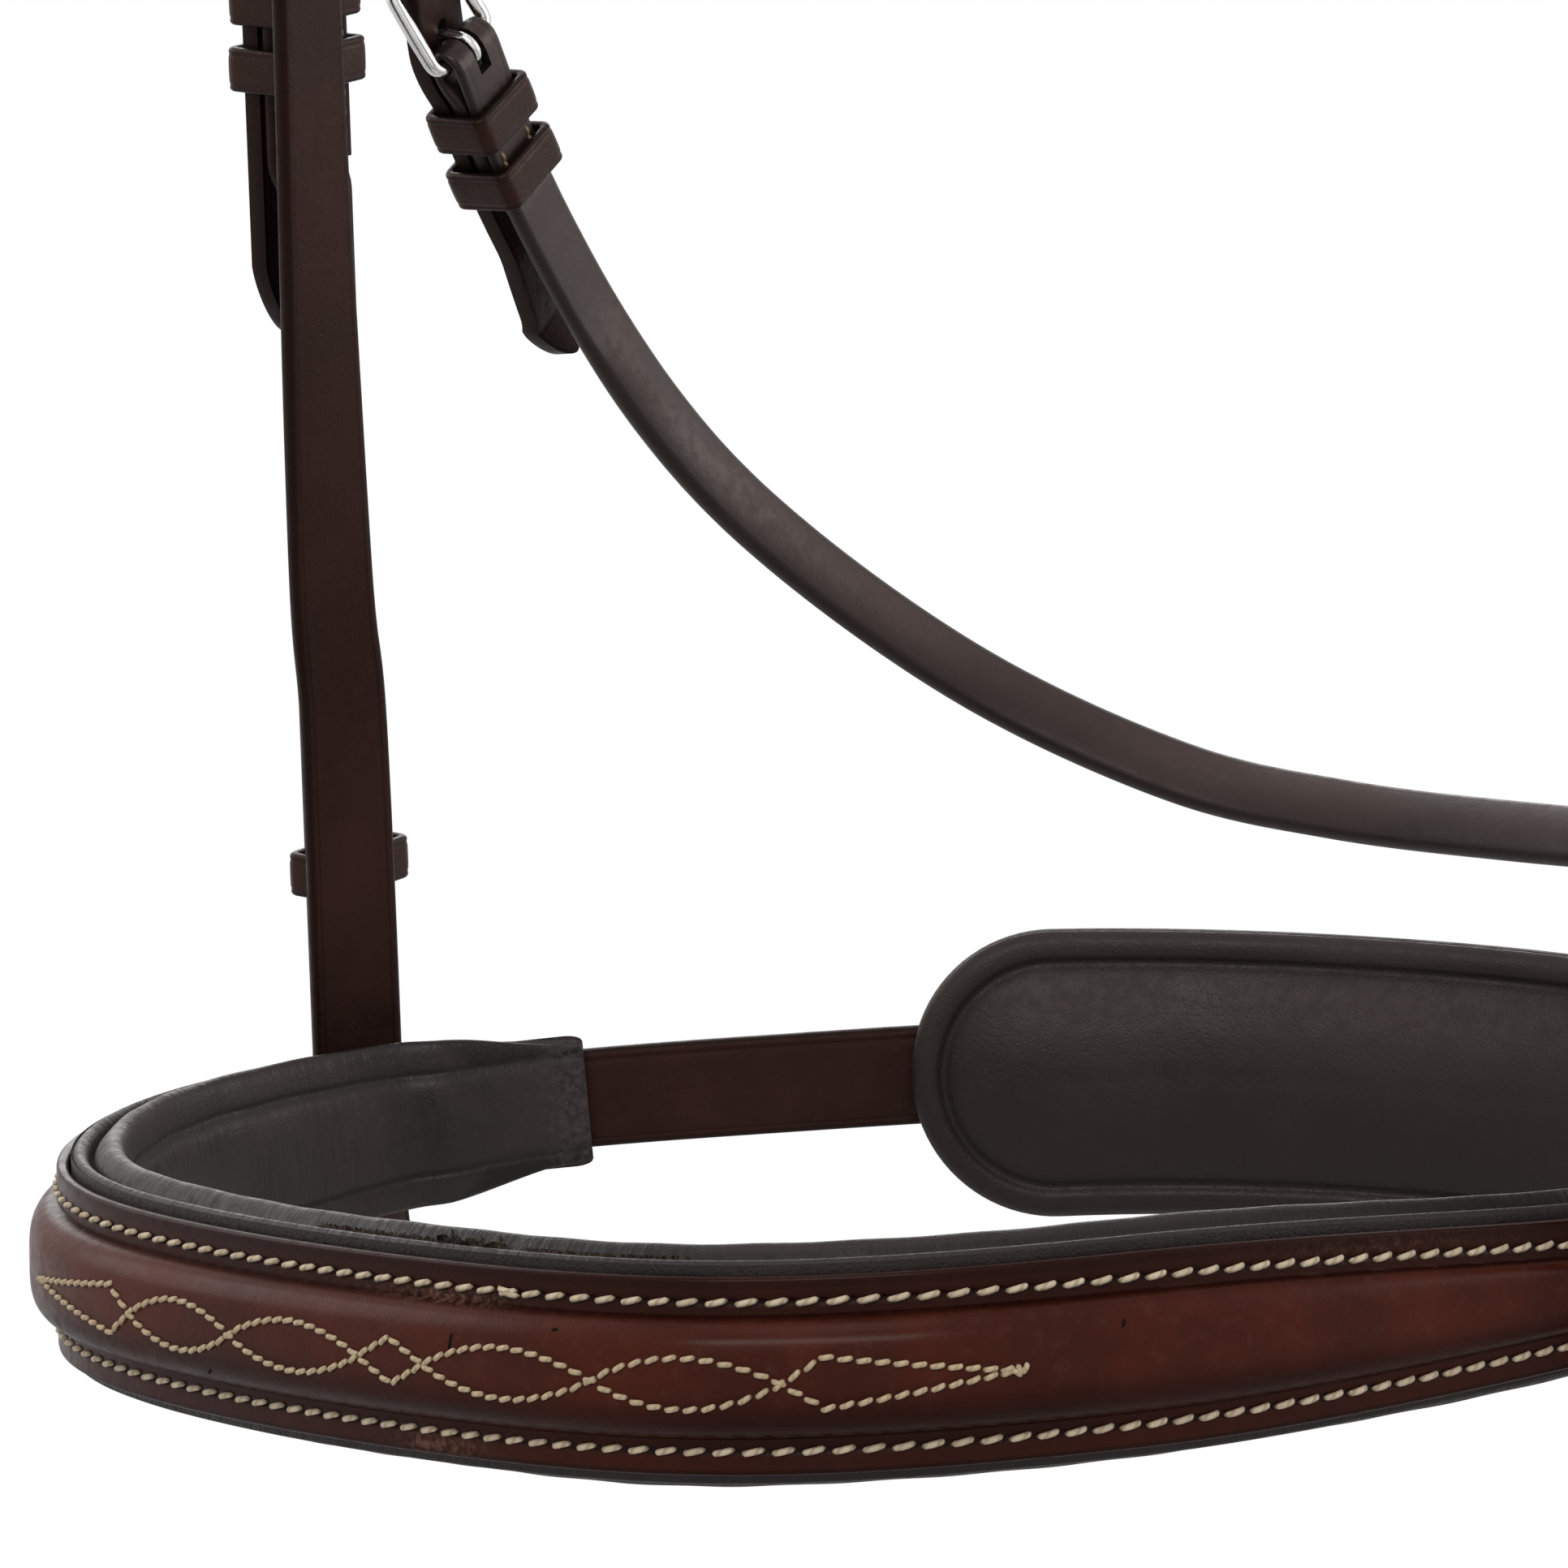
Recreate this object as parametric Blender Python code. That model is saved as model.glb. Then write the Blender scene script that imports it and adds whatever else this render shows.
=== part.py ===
"""English bridle with a padded noseband, in metres, +Z up, the horse's front toward -Y.

The origin is the middle of the underside of the crown pad, where the poll carries it.
Straps are laid out along curved paths: s runs along a strap, v out of its face, w across it.
"""
import math

import bpy
import numpy as np

# Fits and leather thicknesses
clearance = 0.0003
strap_thick = 0.0030
hanger_thick = 0.0028
fold_thick = 0.0018
keeper_thick = 0.0016
edge_chamfer = 0.0005
cut_overrun = 0.0100

# Strap widths
cheek_width = 0.0160
hanger_width = 0.0148
throat_width = 0.0115
throat_crown = 0.0005
rear_width = 0.0159

# Heights above the plane of the noseband
noseband_drop = 0.3550
spring_height = 0.2500
split_height = 0.2320
brow_height = 0.2430
cheek_bar_height = 0.1900
cheek_tip_height = 0.1240
bit_loop_height = -0.0420
hanger_bar_height = 0.1610

# Crown arch and the padding under it
arch_half = 0.1158
pad_depth = 0.0063
crown_half_width = 0.0195
slit_front = 0.0030
slit_rear = 0.0078
split_ease_share = 0.55
crown_pad_half_width = 0.0210
crown_pad_half_length = 0.0980
crown_pad_rim = 0.0015
crown_pad_bulge = 0.0008
hanger_crown_y = -0.0095

# Cheekpieces: where the inner face of each runs
cheek_top_height = 0.2070
cheek_top_x = 0.1222
cheek_top_y = -0.0089
cheek_low_height = 0.0350
cheek_low_x = 0.1308
cheek_low_y = 0.0098
cheek_bottom_rest = 0.0100

# Noseband ring: half width, half depth and rise, with hand-placed spline shares
ring_half_width = 0.1200
ring_half_depth = 0.1000
ring_rise = 0.0100
ring_shares = (
    (-0.13, -1.17, -0.56), (0.33, -1.20, -0.27), (0.63, -0.80, -0.07), (0.80, -0.32, -0.05),
    (0.95, 0.15, -0.03), (0.98, 0.70, 0.26), (0.58, 1.05, 0.65), (0.16, 0.91, 0.93),
    (-0.25, 0.73, 0.84), (-0.57, 0.40, 0.55), (-0.95, 0.14, 0.09), (-1.12, -0.36, -0.48),
    (-0.96, -0.88, -0.93), (-0.53, -1.07, -0.81),
)

# Nosepiece: raised leather face over a padded lining
nose_end = 0.2250
nose_full_to = 0.1100
nose_half_height = 0.0138
nose_end_half_height = 0.0094
nose_end_round = 0.0090
nose_flange = 0.0052
nose_leather = 0.0019
nose_crown = 0.0050
nose_side_crown = 0.0024
nose_end_crown = 0.0008
nose_lift_from = 0.1960
nose_lift_to = 0.2020
lining_depth = 0.0106
lining_end_depth = 0.0062
lining_rise = 0.0033
lining_rim = 0.0010
lining_rim_depth = 0.0024
lining_taper = 0.0260
lining_corner = 0.0030

# Rear strap, its short buckle end and the jaw pad
rear_start = 0.2060
pad_far_end = 0.2780
pad_half_length = 0.0810
pad_half_height = 0.0232
pad_waist = 0.0008
pad_backing = 0.0023
pad_cushion_depth = 0.0068
pad_channel_inset = 0.0052
pad_channel_depth = 0.0009
pad_loop_inset = 0.0260
pad_loop_length = 0.0100
pad_loop_foot = 0.0050
rear_bar = 0.2620
rear_tip = 0.0500
rear_tip_ride = 0.0016
rear_fold = 0.0160

# Noseband hanger straps
hanger_far_s = 0.1910
hanger_near_s = 0.1950
hanger_foot_drop = 0.0120
hanger_foot_rise = 0.0120
hanger_twist_height = 0.1900
hanger_tip = 0.0560
hanger_fold = 0.0260
hanger_sway = 0.0200
hanger_far_shares = ((1.029, -0.230, 0.256), (1.024, -0.405, 0.357), (1.012, -0.670, 0.651),
                     (1.002, -0.880, 0.940))
hanger_near_shares = ((0.990, 0.510, 0.280), (0.991, 0.770, 0.480), (0.991, 0.850, 0.660),
                      (0.991, 0.820, 0.780), (0.995, 0.600, 0.888), (1.000, 0.240, 0.976))
arch_shift_from = 0.0400
arch_shift_to = 0.1150

# Throatlatch: half span, sweep to the rear and drop, with hand-placed curve shares
throat_half_span = 0.1225
throat_start_y = 0.0340
throat_start_height = 0.1680
throat_sweep = 0.1128
throat_drop = 0.1272
throat_bar = 0.0340
throat_tip = 0.0610
throat_tip_ride = 0.0040
throat_tip_play = 0.0110
throat_fold = 0.0230
throat_shares = (
    (0.975, -0.150, -0.232), (1.0, 0.0, 0.0), (1.0, 0.170, 0.233), (0.970, 0.381, 0.472),
    (0.888, 0.570, 0.654), (0.710, 0.785, 0.839), (0.474, 0.933, 0.957), (0.250, 0.983, 0.992),
)

# Buckles: wire frame, tongue and the leather that passes through
wire = 0.00125
tongue_wire = 0.0009
buckle_length = 0.0160
buckle_side_gap = 0.0005
front_rise = 0.0085
front_corner = 0.0034
heel_corner = 0.0022
tongue_over = 0.0026
tongue_shares = ((0.20, 0.85), (0.275, 1.09), (0.44, 1.19), (0.75, 1.15))
fold_slot_back = 0.0036
billet_slot_from = -0.0010
billet_slot_to = 0.0054
hole_size = 0.0034
hole_pitch = 0.0130

# Keepers: fixed one near the buckle, loose runner beyond it
fixed_keeper_at = 0.0120
runner_at = 0.0225
keeper_length = 0.0070
runner_length = 0.0070
keeper_corner = 0.0012

# Buckle end and bit end of a cheekpiece
cheek_fold = 0.0380
bit_gap = 0.0090
turn_up_tip = 0.0570
low_keeper_height = 0.0390
loop_keeper_height = -0.0120
stud_height = 0.0150
stud_head = 0.0030
stud_head_thick = 0.0009
stud_shank = 0.0014
stud_button = 0.0027
stud_button_rise = 0.0016
stud_slot = 0.0042
stud_slot_length = 0.0100
bit_loop_taper = 0.0220

# Browband: loops round the headpiece and a raised padded front
brow_thick = 0.0020
brow_loop_half = 0.0065
brow_half_height = 0.0100
brow_rear = 0.0220
brow_front = -0.1500
brow_side_x = 0.1095
brow_close_y = -0.0420
brow_open_y = -0.0290
brow_sewn_y = -0.0390
brow_sag = 0.0140
brow_crown = 0.0034
brow_flange = 0.0034
brow_lining_depth = 0.0070
brow_lining_rise = 0.0022
brow_lining_rim = 0.0008
brow_lining_rim_depth = 0.0018
brow_lining_inset = 0.0140

# Facet spacing and counts
step = 0.0090
wide_step = 0.0120
long_step = 0.0240
wire_sides = 6
spline_samples = 160
ring_samples = 1440

BROWN = (0.060, 0.017, 0.010)
DARK = (0.022, 0.010, 0.008)
SOFT = (0.046, 0.033, 0.028)
METAL = (0.62, 0.60, 0.56)


# Remove what the scene holds
def clear_scene():
    for obj in list(bpy.data.objects):
        bpy.data.objects.remove(obj)


# A material of its own for one object
def add_material(obj, colour, rough, metal):
    mat = bpy.data.materials.new(obj.name + "_mat")
    mat.use_nodes = True
    shader = mat.node_tree.nodes["Principled BSDF"]
    shader.inputs["Base Color"].default_value = (*colour, 1.0)
    shader.inputs["Roughness"].default_value = rough
    shader.inputs["Metallic"].default_value = metal
    obj.data.materials.append(mat)


# Signed volume of a closed mesh
def signed_volume(verts, faces):
    total = 0.0
    for face in faces:
        first = verts[face[0]]
        for b, c in zip(face[1:-1], face[2:]):
            total += float(np.dot(first, np.cross(verts[b], verts[c])))
    return total


# One closed body with its faces turned outward
def add_body(name, verts, faces, look=(BROWN, 0.45, 0.0), flat_angle=35.0, origin=None):
    verts = np.asarray(verts, float)
    used = sorted({i for face in faces for i in face})
    renumber = {old: new for new, old in enumerate(used)}
    verts = verts[used]
    faces = [[renumber[i] for i in face] for face in faces]
    if signed_volume(verts, faces) < 0:
        faces = [face[::-1] for face in faces]
    shift = np.zeros(3) if origin is None else np.asarray(origin, float)
    mesh = bpy.data.meshes.new(name)
    mesh.from_pydata([tuple(p) for p in verts - shift], [], faces)
    mesh.polygons.foreach_set("use_smooth", [True] * len(mesh.polygons))
    mesh.set_sharp_from_angle(angle=math.radians(flat_angle))
    mesh.update()
    obj = bpy.data.objects.new(name, mesh)
    bpy.context.scene.collection.objects.link(obj)
    obj.location = tuple(shift)
    add_material(obj, *look)
    return obj


# Replace an object's mesh by the one its modifiers make
def settle(obj):
    deps = bpy.context.evaluated_depsgraph_get()
    mesh = bpy.data.meshes.new_from_object(obj.evaluated_get(deps))
    old = obj.data
    obj.modifiers.clear()
    obj.data = mesh
    bpy.data.meshes.remove(old)


# Cut a cutter out of an object
def cut(obj, verts, faces):
    cutter = add_body(obj.name + "_cutter", verts, faces)
    cutter.hide_render = True
    cutter.display_type = "WIRE"
    mod = obj.modifiers.new("cut", "BOOLEAN")
    mod.operation = "DIFFERENCE"
    mod.solver = "EXACT"
    mod.object = cutter
    settle(obj)
    mesh = cutter.data
    bpy.data.objects.remove(cutter)
    bpy.data.meshes.remove(mesh)


# Share of the way between two lengths, held at the ends
def ramp(s, a, b):
    x = np.clip((np.asarray(s, float) - a) / (b - a), 0.0, 1.0)
    return x * x * (3 - 2 * x)


# Unit vectors
def unit(a):
    a = np.asarray(a, float)
    return a / np.linalg.norm(a, axis=-1, keepdims=True)


# Smooth open curve through hand-placed rows
def open_curve(rows, samples=spline_samples):
    rows = np.asarray(rows, float)
    ext = np.vstack([2 * rows[0] - rows[1], rows, 2 * rows[-1] - rows[-2]])
    out = []
    for i in range(1, len(ext) - 2):
        t = np.linspace(0.0, 1.0, samples // (len(rows) - 1) + 2, endpoint=False)[:, None]
        a, b, c, d = ext[i - 1], ext[i], ext[i + 1], ext[i + 2]
        out.append(0.5 * (2 * b + (c - a) * t + (2 * a - 5 * b + 4 * c - d) * t ** 2
                          + (3 * b - a - 3 * c + d) * t ** 3))
    out.append(rows[-1:])
    return np.vstack(out)


# Closed cubic spline pulled by hand-placed shares
def closed_curve(shares, scale, samples):
    ctrl = np.asarray(shares, float) * np.asarray(scale, float)
    count = len(ctrl)
    u = np.linspace(0.0, count, samples, endpoint=False)
    i = np.floor(u).astype(int)
    t = (u - i)[:, None]
    weights = ((1 - t) ** 3, 3 * t ** 3 - 6 * t ** 2 + 4, -3 * t ** 3 + 3 * t ** 2 + 3 * t + 1, t ** 3)
    return sum(w * ctrl[(i - 1 + k) % count] for k, w in enumerate(weights)) / 6.0


# A strap's route: positions, run, outward and across directions by length
def make_path(points, across, start=0.0, closed=False):
    points = np.asarray(points, float)
    across = np.broadcast_to(np.asarray(across, float), points.shape)
    if closed:
        run = np.roll(points, -1, 0) - np.roll(points, 1, 0)
        points = np.vstack([points, points[:1]])
        run = np.vstack([run, run[:1]])
        across = np.vstack([across, across[:1]])
    else:
        run = np.gradient(points, axis=0)
    run = unit(run)
    out = unit(np.cross(run, across))
    across = np.cross(out, run)
    lengths = np.concatenate([[0.0], np.cumsum(np.linalg.norm(np.diff(points, axis=0), axis=1))])
    return {"s": lengths + start, "p": points, "t": run, "n": out, "w": across, "closed": closed,
            "length": lengths[-1]}


# Read a route's frame at given lengths, carried on straight past open ends
def frame_at(path, s):
    s = np.asarray(s, float)
    base = path["s"]
    inside = s
    if path["closed"]:
        inside = np.mod(s - base[0], path["length"]) + base[0]
    held = np.clip(inside, base[0], base[-1])
    parts = []
    for key in ("p", "t", "w", "n"):
        cols = [np.interp(held, base, path[key][:, k]) for k in range(3)]
        parts.append(np.stack(cols, -1))
    p, t, w, n = parts
    t, w, n = unit(t), unit(w), unit(n)
    p = p + t * (inside - held)[..., None]
    return p, t, w, n


# Layout coordinates to space
def lay(path, s, v, w):
    p, _t, wd, n = frame_at(path, s)
    return p + n * np.asarray(v, float)[..., None] + wd * np.asarray(w, float)[..., None]


# Mirror points to the far side
def to_side(points, side):
    points = np.array(points, float)
    points[..., 0] *= side
    return points


# Skin a row of rings into a closed body
def skin(rings, closed=False):
    rows, cols = rings.shape[:2]
    faces = []
    last = rows if closed else rows - 1
    for i in range(last):
        for j in range(cols):
            a = i * cols + j
            b = i * cols + (j + 1) % cols
            up = ((i + 1) % rows) * cols
            faces.append([a, b, up + (j + 1) % cols, up + j])
    if not closed:
        faces.append(list(range(cols))[::-1])
        faces.append([(rows - 1) * cols + j for j in range(cols)])
    return rings.reshape(-1, 3), faces


# Chamfered strap section as (across, out) points, its faces domed by the crown
def strap_section(half, thick, crown=0.0):
    half = np.asarray(half, float)[:, None]
    top = np.asarray(thick, float)[:, None] / 2
    c = np.minimum(edge_chamfer, half / 2)
    across = [-half + c, half - c, half, half, half - c, -half + c, -half, -half]
    out = [-top, -top, -top + c, top - c, top, top, top - c, -top + c]
    if crown:
        low = top - crown
        across = [-half + c, -half * 0.45, half * 0.45, half - c, half, half,
                  half - c, half * 0.45, -half * 0.45, -half + c, -half, -half]
        out = [-low, -top, -top, -low, -low + c, low - c, low, top, top, low, low - c, -low + c]
    return np.concatenate(across, 1), np.concatenate(out, 1)


# Even stations from one length to another
def stations(a, b, pitch):
    count = max(2, int(math.ceil(abs(b - a) / pitch)) + 1)
    return np.linspace(a, b, count)


# Rows with no step longer than the pitch
def refine(rows, pitch):
    rows = np.asarray(rows, float)
    fine = [rows[:1]]
    for a, b in zip(rows[:-1], rows[1:]):
        gap = float(np.hypot(b[0] - a[0], b[1] - a[1]))
        count = max(1, int(math.ceil(gap / pitch)))
        share = np.linspace(0.0, 1.0, count + 1)[1:, None]
        fine.append(a + (b - a) * share)
    return np.vstack(fine)


# Strap body along a line of (length, rise, thickness, half width, middle) rows
def ribbon(name, path, rows, side=1, look=(BROWN, 0.45, 0.0), pitch=step, crown=0.0):
    rows = refine(rows, pitch)
    s, v = rows[:, 0], rows[:, 1]
    ds, dv = np.gradient(s), np.gradient(v)
    size = np.hypot(ds, dv)
    ns, nv = -dv / size, ds / size
    across, out = strap_section(rows[:, 3], rows[:, 2], crown)
    p, t, w, n = frame_at(path, s)
    normal = t * ns[:, None] + n * nv[:, None]
    mid = p + n * v[:, None]
    width = across + rows[:, 4:5]
    rings = mid[:, None] + normal[:, None] * out[..., None] + w[:, None] * width[..., None]
    verts, faces = skin(to_side(rings, side))
    return add_body(name, verts, faces, look)


# Rows that draw a strap in to its point, walking with the sign of way
def point_rows(tip, way, rise, thick, half, mid=0.0):
    lengths = (half * 1.5, half * 0.9, half * 0.35, 0.0)
    shares = (1.0, 0.86, 0.56, 0.26)
    return [(tip - way * d, rise, thick, half * k, mid) for d, k in zip(lengths, shares)]


# Route of the arch over the poll, inner face of the noseband strap
def arch_points():
    height = pad_depth + noseband_drop - spring_height
    turn = np.linspace(math.pi, 0.0, spline_samples)
    x = arch_half * np.cos(turn)
    z = spring_height - noseband_drop + height * np.sin(turn)
    return np.stack([x, np.zeros_like(x), z], 1)


def arch_path():
    points = arch_points()
    path = make_path(points, (0, 1, 0))
    path["s"] = path["s"] - path["length"] / 2
    return path


# Noseband route, zero at the middle of the fancy stitching, rising to the near side
def ring_path():
    points = closed_curve(ring_shares, (ring_half_width, ring_half_depth, ring_rise), ring_samples)
    points[:, 2] -= noseband_drop
    return make_path(points, (0, 0, 1), closed=True)


# Cheekpiece route on the near side, from the buckle end down
def cheek_path():
    top = np.array([cheek_top_x, cheek_top_y, cheek_top_height - noseband_drop])
    low = np.array([cheek_low_x, cheek_low_y, cheek_low_height - noseband_drop])
    run = unit(low - top)
    end = top + run * (cheek_top_height - bit_loop_height + cheek_bottom_rest)
    points = top + (end - top) * np.linspace(0.0, 1.0, 40)[:, None]
    return make_path(points, (0, 1, 0))


# Length along the cheekpiece route at a height above the noseband plane
def cheek_s(path, height):
    z = path["p"][:, 2] + noseband_drop
    return float(np.interp(-height, -z, path["s"]))


# Throatlatch route from the far side under the throat to the near side
def throat_path():
    near = np.asarray(throat_shares, float)
    middle = np.array([[0.0, 1.0, 1.0]])
    far = near * np.array([-1.0, 1.0, 1.0])
    shares = np.vstack([far, middle, near[::-1]])
    points = np.stack([shares[:, 0] * throat_half_span,
                       throat_start_y + shares[:, 1] * throat_sweep,
                       throat_start_height - noseband_drop - shares[:, 2] * throat_drop], 1)
    dense = open_curve(points, spline_samples * 4)
    run = unit(np.gradient(dense, axis=0))
    inward = unit(np.array([0.0, throat_start_y, throat_start_height - noseband_drop]) - dense)
    across = unit(np.cross(run, inward))
    path = make_path(dense, across)
    path["s"] = path["s"] - path["length"] / 2
    return path


# Long noseband hanger: up the far side, over the poll, down to the near buckle
def hanger_path(ring):
    clear = nose_leather + nose_side_crown + 3 * clearance
    far_p, far_t, _w, far_n = frame_at(ring, -hanger_far_s)
    foot = far_p + far_n * clear
    low = foot - np.array([0, 0, hanger_foot_drop])
    high = foot + np.array([0, 0, hanger_foot_rise])
    rows = [np.r_[low, -far_t], np.r_[foot, -far_t], np.r_[high, -far_t]]
    far = np.asarray(hanger_far_shares) * (arch_half, hanger_sway, spring_height)
    near = np.asarray(hanger_near_shares) * (arch_half, hanger_sway, spring_height)
    for x, y, h in far:
        turned = 1.0 - ramp(h, hanger_foot_rise, hanger_twist_height)
        across = unit(np.array([0.0, 1.0, 0.0]) * (1.0 - turned) - far_t * turned)
        rows.append(np.r_[-x, y, h - noseband_drop, across])
    arch = arch_points()[::8]
    drop = arch[:, 2].max() - arch[:, 2]
    share = ramp(drop, arch_shift_from, arch_shift_to)
    target = np.where(arch[:, 0] < 0, far[-1, 1], near[-1, 1])
    arch[:, 1] = hanger_crown_y + (target - hanger_crown_y) * share
    for x, y, z in arch:
        rows.append(np.r_[x, y, z, 0, 1, 0])
    for x, y, h in near[::-1]:
        rows.append(np.r_[x, y, h - noseband_drop, 0, 1, 0])
    near_p, near_t, _w, near_n = frame_at(ring, hanger_near_s)
    foot = near_p + near_n * clear
    rows.append(np.r_[foot + np.array([0, 0, hanger_foot_rise]), near_t])
    rows.append(np.r_[foot, near_t])
    rows.append(np.r_[foot - np.array([0, 0, hanger_foot_drop]), near_t])
    dense = open_curve(rows, spline_samples * 8)
    path = make_path(dense[:, :3], unit(dense[:, 3:]))
    top = path["s"][int(np.argmax(path["p"][:, 2]))]
    path["s"] = path["s"] - top
    return path


# Length along the near run of the hanger route at a height
def hanger_s(path, height, near=True):
    z = path["p"][:, 2] + noseband_drop
    pick = path["s"] >= 0 if near else path["s"] <= 0
    order = np.argsort(z[pick])
    return float(np.interp(height, z[pick][order], path["s"][pick][order]))


# Local buckle layout: bar at s0, way is the direction toward the incoming billet
def local(s0, way, sigma):
    return s0 + way * np.asarray(sigma, float)


# Wire bent through points, closed or open
def wire_body(name, points, radius, closed, look, side=1, origin=None):
    points = np.asarray(points, float)
    if closed:
        run = unit(np.roll(points, -1, 0) - np.roll(points, 1, 0))
        flat = unit(np.cross(points[2] - points[0], points[5] - points[0]))
    else:
        run = unit(np.gradient(points, axis=0))
        flat = unit(np.cross(points[1] - points[0], points[3] - points[0]))
    side_dir = unit(flat - run * np.sum(run * flat, axis=1, keepdims=True))
    up = np.cross(run, side_dir)
    turn = np.linspace(0.0, 2 * math.pi, wire_sides, endpoint=False)
    ring = side_dir[:, None] * np.cos(turn)[None, :, None] + up[:, None] * np.sin(turn)[None, :, None]
    rings = points[:, None] + ring * radius
    verts, faces = skin(to_side(rings, side), closed)
    place = None if origin is None else to_side(origin, side)
    return add_body(name, verts, faces, look, origin=place)


# Rise of the heel bar: folded leather and its play lie under it
def bar_rise():
    return fold_thick + clearance + wire


# Rise of the frame at a distance from its bar
def frame_rise(sigma):
    return bar_rise() + (front_rise - bar_rise()) * np.asarray(sigma, float) / buckle_length


# Rises of a billet's middle under the front bar, over the fold and under the keepers
def billet_rises(thick):
    under = front_rise - wire - 2 * clearance - thick / 2
    over = bar_rise() + wire + clearance + fold_thick + clearance + thick / 2
    held = thick + clearance + fold_thick + clearance + thick / 2
    return under, over, held


# Buckle frame outline: straight bars with rounded corners
def buckle_frame(name, path, s0, way, base, half, side=1):
    reach = half + buckle_side_gap + wire
    far, near = buckle_length - front_corner, heel_corner
    corners = ((far, front_corner - reach, front_corner, 270.0), (far, reach - front_corner, front_corner, 0.0),
               (near, reach - heel_corner, heel_corner, 90.0), (near, heel_corner - reach, heel_corner, 180.0))
    line = []
    for along, across, radius, first in corners:
        for a in np.radians(np.linspace(first, first + 90.0, 4)):
            line.append((along + radius * math.cos(a), across + radius * math.sin(a)))
    full = []
    for here, following in zip(line, line[1:] + line[:1]):
        full.append(here)
        if math.dist(here, following) > 2 * front_corner:
            full.append(((here[0] + following[0]) / 2, (here[1] + following[1]) / 2))
    line = np.asarray(full)
    points = lay(path, local(s0, way, line[:, 0]), base + frame_rise(line[:, 0]), line[:, 1])
    return wire_body(name, points, wire, True, (METAL, 0.22, 1.0), side)


# Tongue: wrapped round the bar, up through the billet and down onto the front bar
def buckle_tongue(name, path, s0, way, base, thick, side=1):
    loop = wire + tongue_wire + clearance
    over = billet_rises(thick)[1] + thick / 2
    laid = front_rise + wire + tongue_wire + clearance
    turns = np.radians(np.linspace(100.0, 360.0, 10))
    line = [(loop * math.cos(a), bar_rise() + loop * math.sin(a)) for a in turns]
    line += [(buckle_length * along, over * up) for along, up in tongue_shares]
    line.append((buckle_length + tongue_over, laid))
    line = np.asarray(line)
    points = lay(path, local(s0, way, line[:, 0]), base + line[:, 1], np.zeros(len(line)))
    pivot = lay(path, np.array([s0]), np.array([base + bar_rise()]), np.zeros(1))[0]
    return wire_body(name, points, tongue_wire, False, (METAL, 0.22, 1.0), side, pivot)


# Rows of a strap end folded inward round the buckle bar, main strap first
def fold_rows(s0, way, base, half, thick, fold_back):
    turn = wire + clearance + fold_thick / 2
    raised = base + fold_thick + clearance + thick / 2
    rows = [(local(s0, way, -fold_back - 2 * fold_thick), base + thick / 2, thick, half, 0.0),
            (local(s0, way, -fold_back - 2 * clearance), raised, thick, half, 0.0),
            (local(s0, way, -3.0 * turn), raised, thick, half, 0.0),
            (local(s0, way, -1.7 * turn), base + bar_rise() + turn * 0.85, fold_thick, half, 0.0)]
    for a in np.radians(np.linspace(90.0, -90.0, 7)):
        rows.append((local(s0, way, turn * math.cos(a)), base + bar_rise() + turn * math.sin(a),
                     fold_thick, half, 0.0))
    rows.append((local(s0, way, -fold_back), base + fold_thick / 2, fold_thick, half, 0.0))
    return rows


# Rows of a billet from the front bar over the heel bar to its point
def billet_rows(s0, way, base, half, thick, tip, ride=0.0, play=0.0):
    settled = fixed_keeper_at - keeper_length / 2 - 2 * clearance
    passed = runner_at + runner_length / 2 + play
    ridden = passed + runner_length / 2 + play
    under, over, held = billet_rises(thick)
    rows = [(buckle_length, under), (buckle_length / 2, (under + over) / 2), (0.0, over),
            (-settled * 0.55, over * 0.75 + held * 0.25), (-settled, held),
            (-passed, held), (-ridden, held + ride * 0.8)]
    rows = [(float(local(s0, way, d)), base + rise, thick, half, 0.0) for d, rise in rows]
    return rows + point_rows(float(local(s0, way, -tip)), -way, base + held + ride, thick, half)


# Straight-sided cutter from a (length, across) outline, along the out direction
def prism(path, outline, low, high, side):
    outline = np.asarray(outline, float)
    count = len(outline)
    bottom = lay(path, outline[:, 0], np.full(count, low), outline[:, 1])
    top = lay(path, outline[:, 0], np.full(count, high), outline[:, 1])
    verts = to_side(np.vstack([bottom, top]), side)
    faces = [list(range(count))[::-1], [count + i for i in range(count)]]
    for i in range(count):
        k = (i + 1) % count
        faces.append([i, k, count + k, count + i])
    if signed_volume(verts, faces) < 0:
        faces = [face[::-1] for face in faces]
    return verts, faces


# Long hole with round ends between two lengths
def slot_outline(a, b, width):
    low, high = min(a, b) + width / 2, max(a, b) - width / 2
    pts = []
    for k in range(5):
        turn = math.radians(-90 + 45 * k)
        pts.append((high + width / 2 * math.cos(turn), width / 2 * math.sin(turn)))
    for k in range(5):
        turn = math.radians(90 + 45 * k)
        pts.append((low + width / 2 * math.cos(turn), width / 2 * math.sin(turn)))
    return pts


# Round hole outline
def hole_outline(s, width):
    turn = np.linspace(0.0, 2 * math.pi, 10, endpoint=False)
    return [(s + width / 2 * math.cos(a), width / 2 * math.sin(a)) for a in turn]


# Several cutters as one mesh
def join(parts):
    verts, faces, shift = [], [], 0
    for v, f in parts:
        verts.append(v)
        faces += [[i + shift for i in face] for face in f]
        shift += len(v)
    return np.vstack(verts), faces


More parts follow.
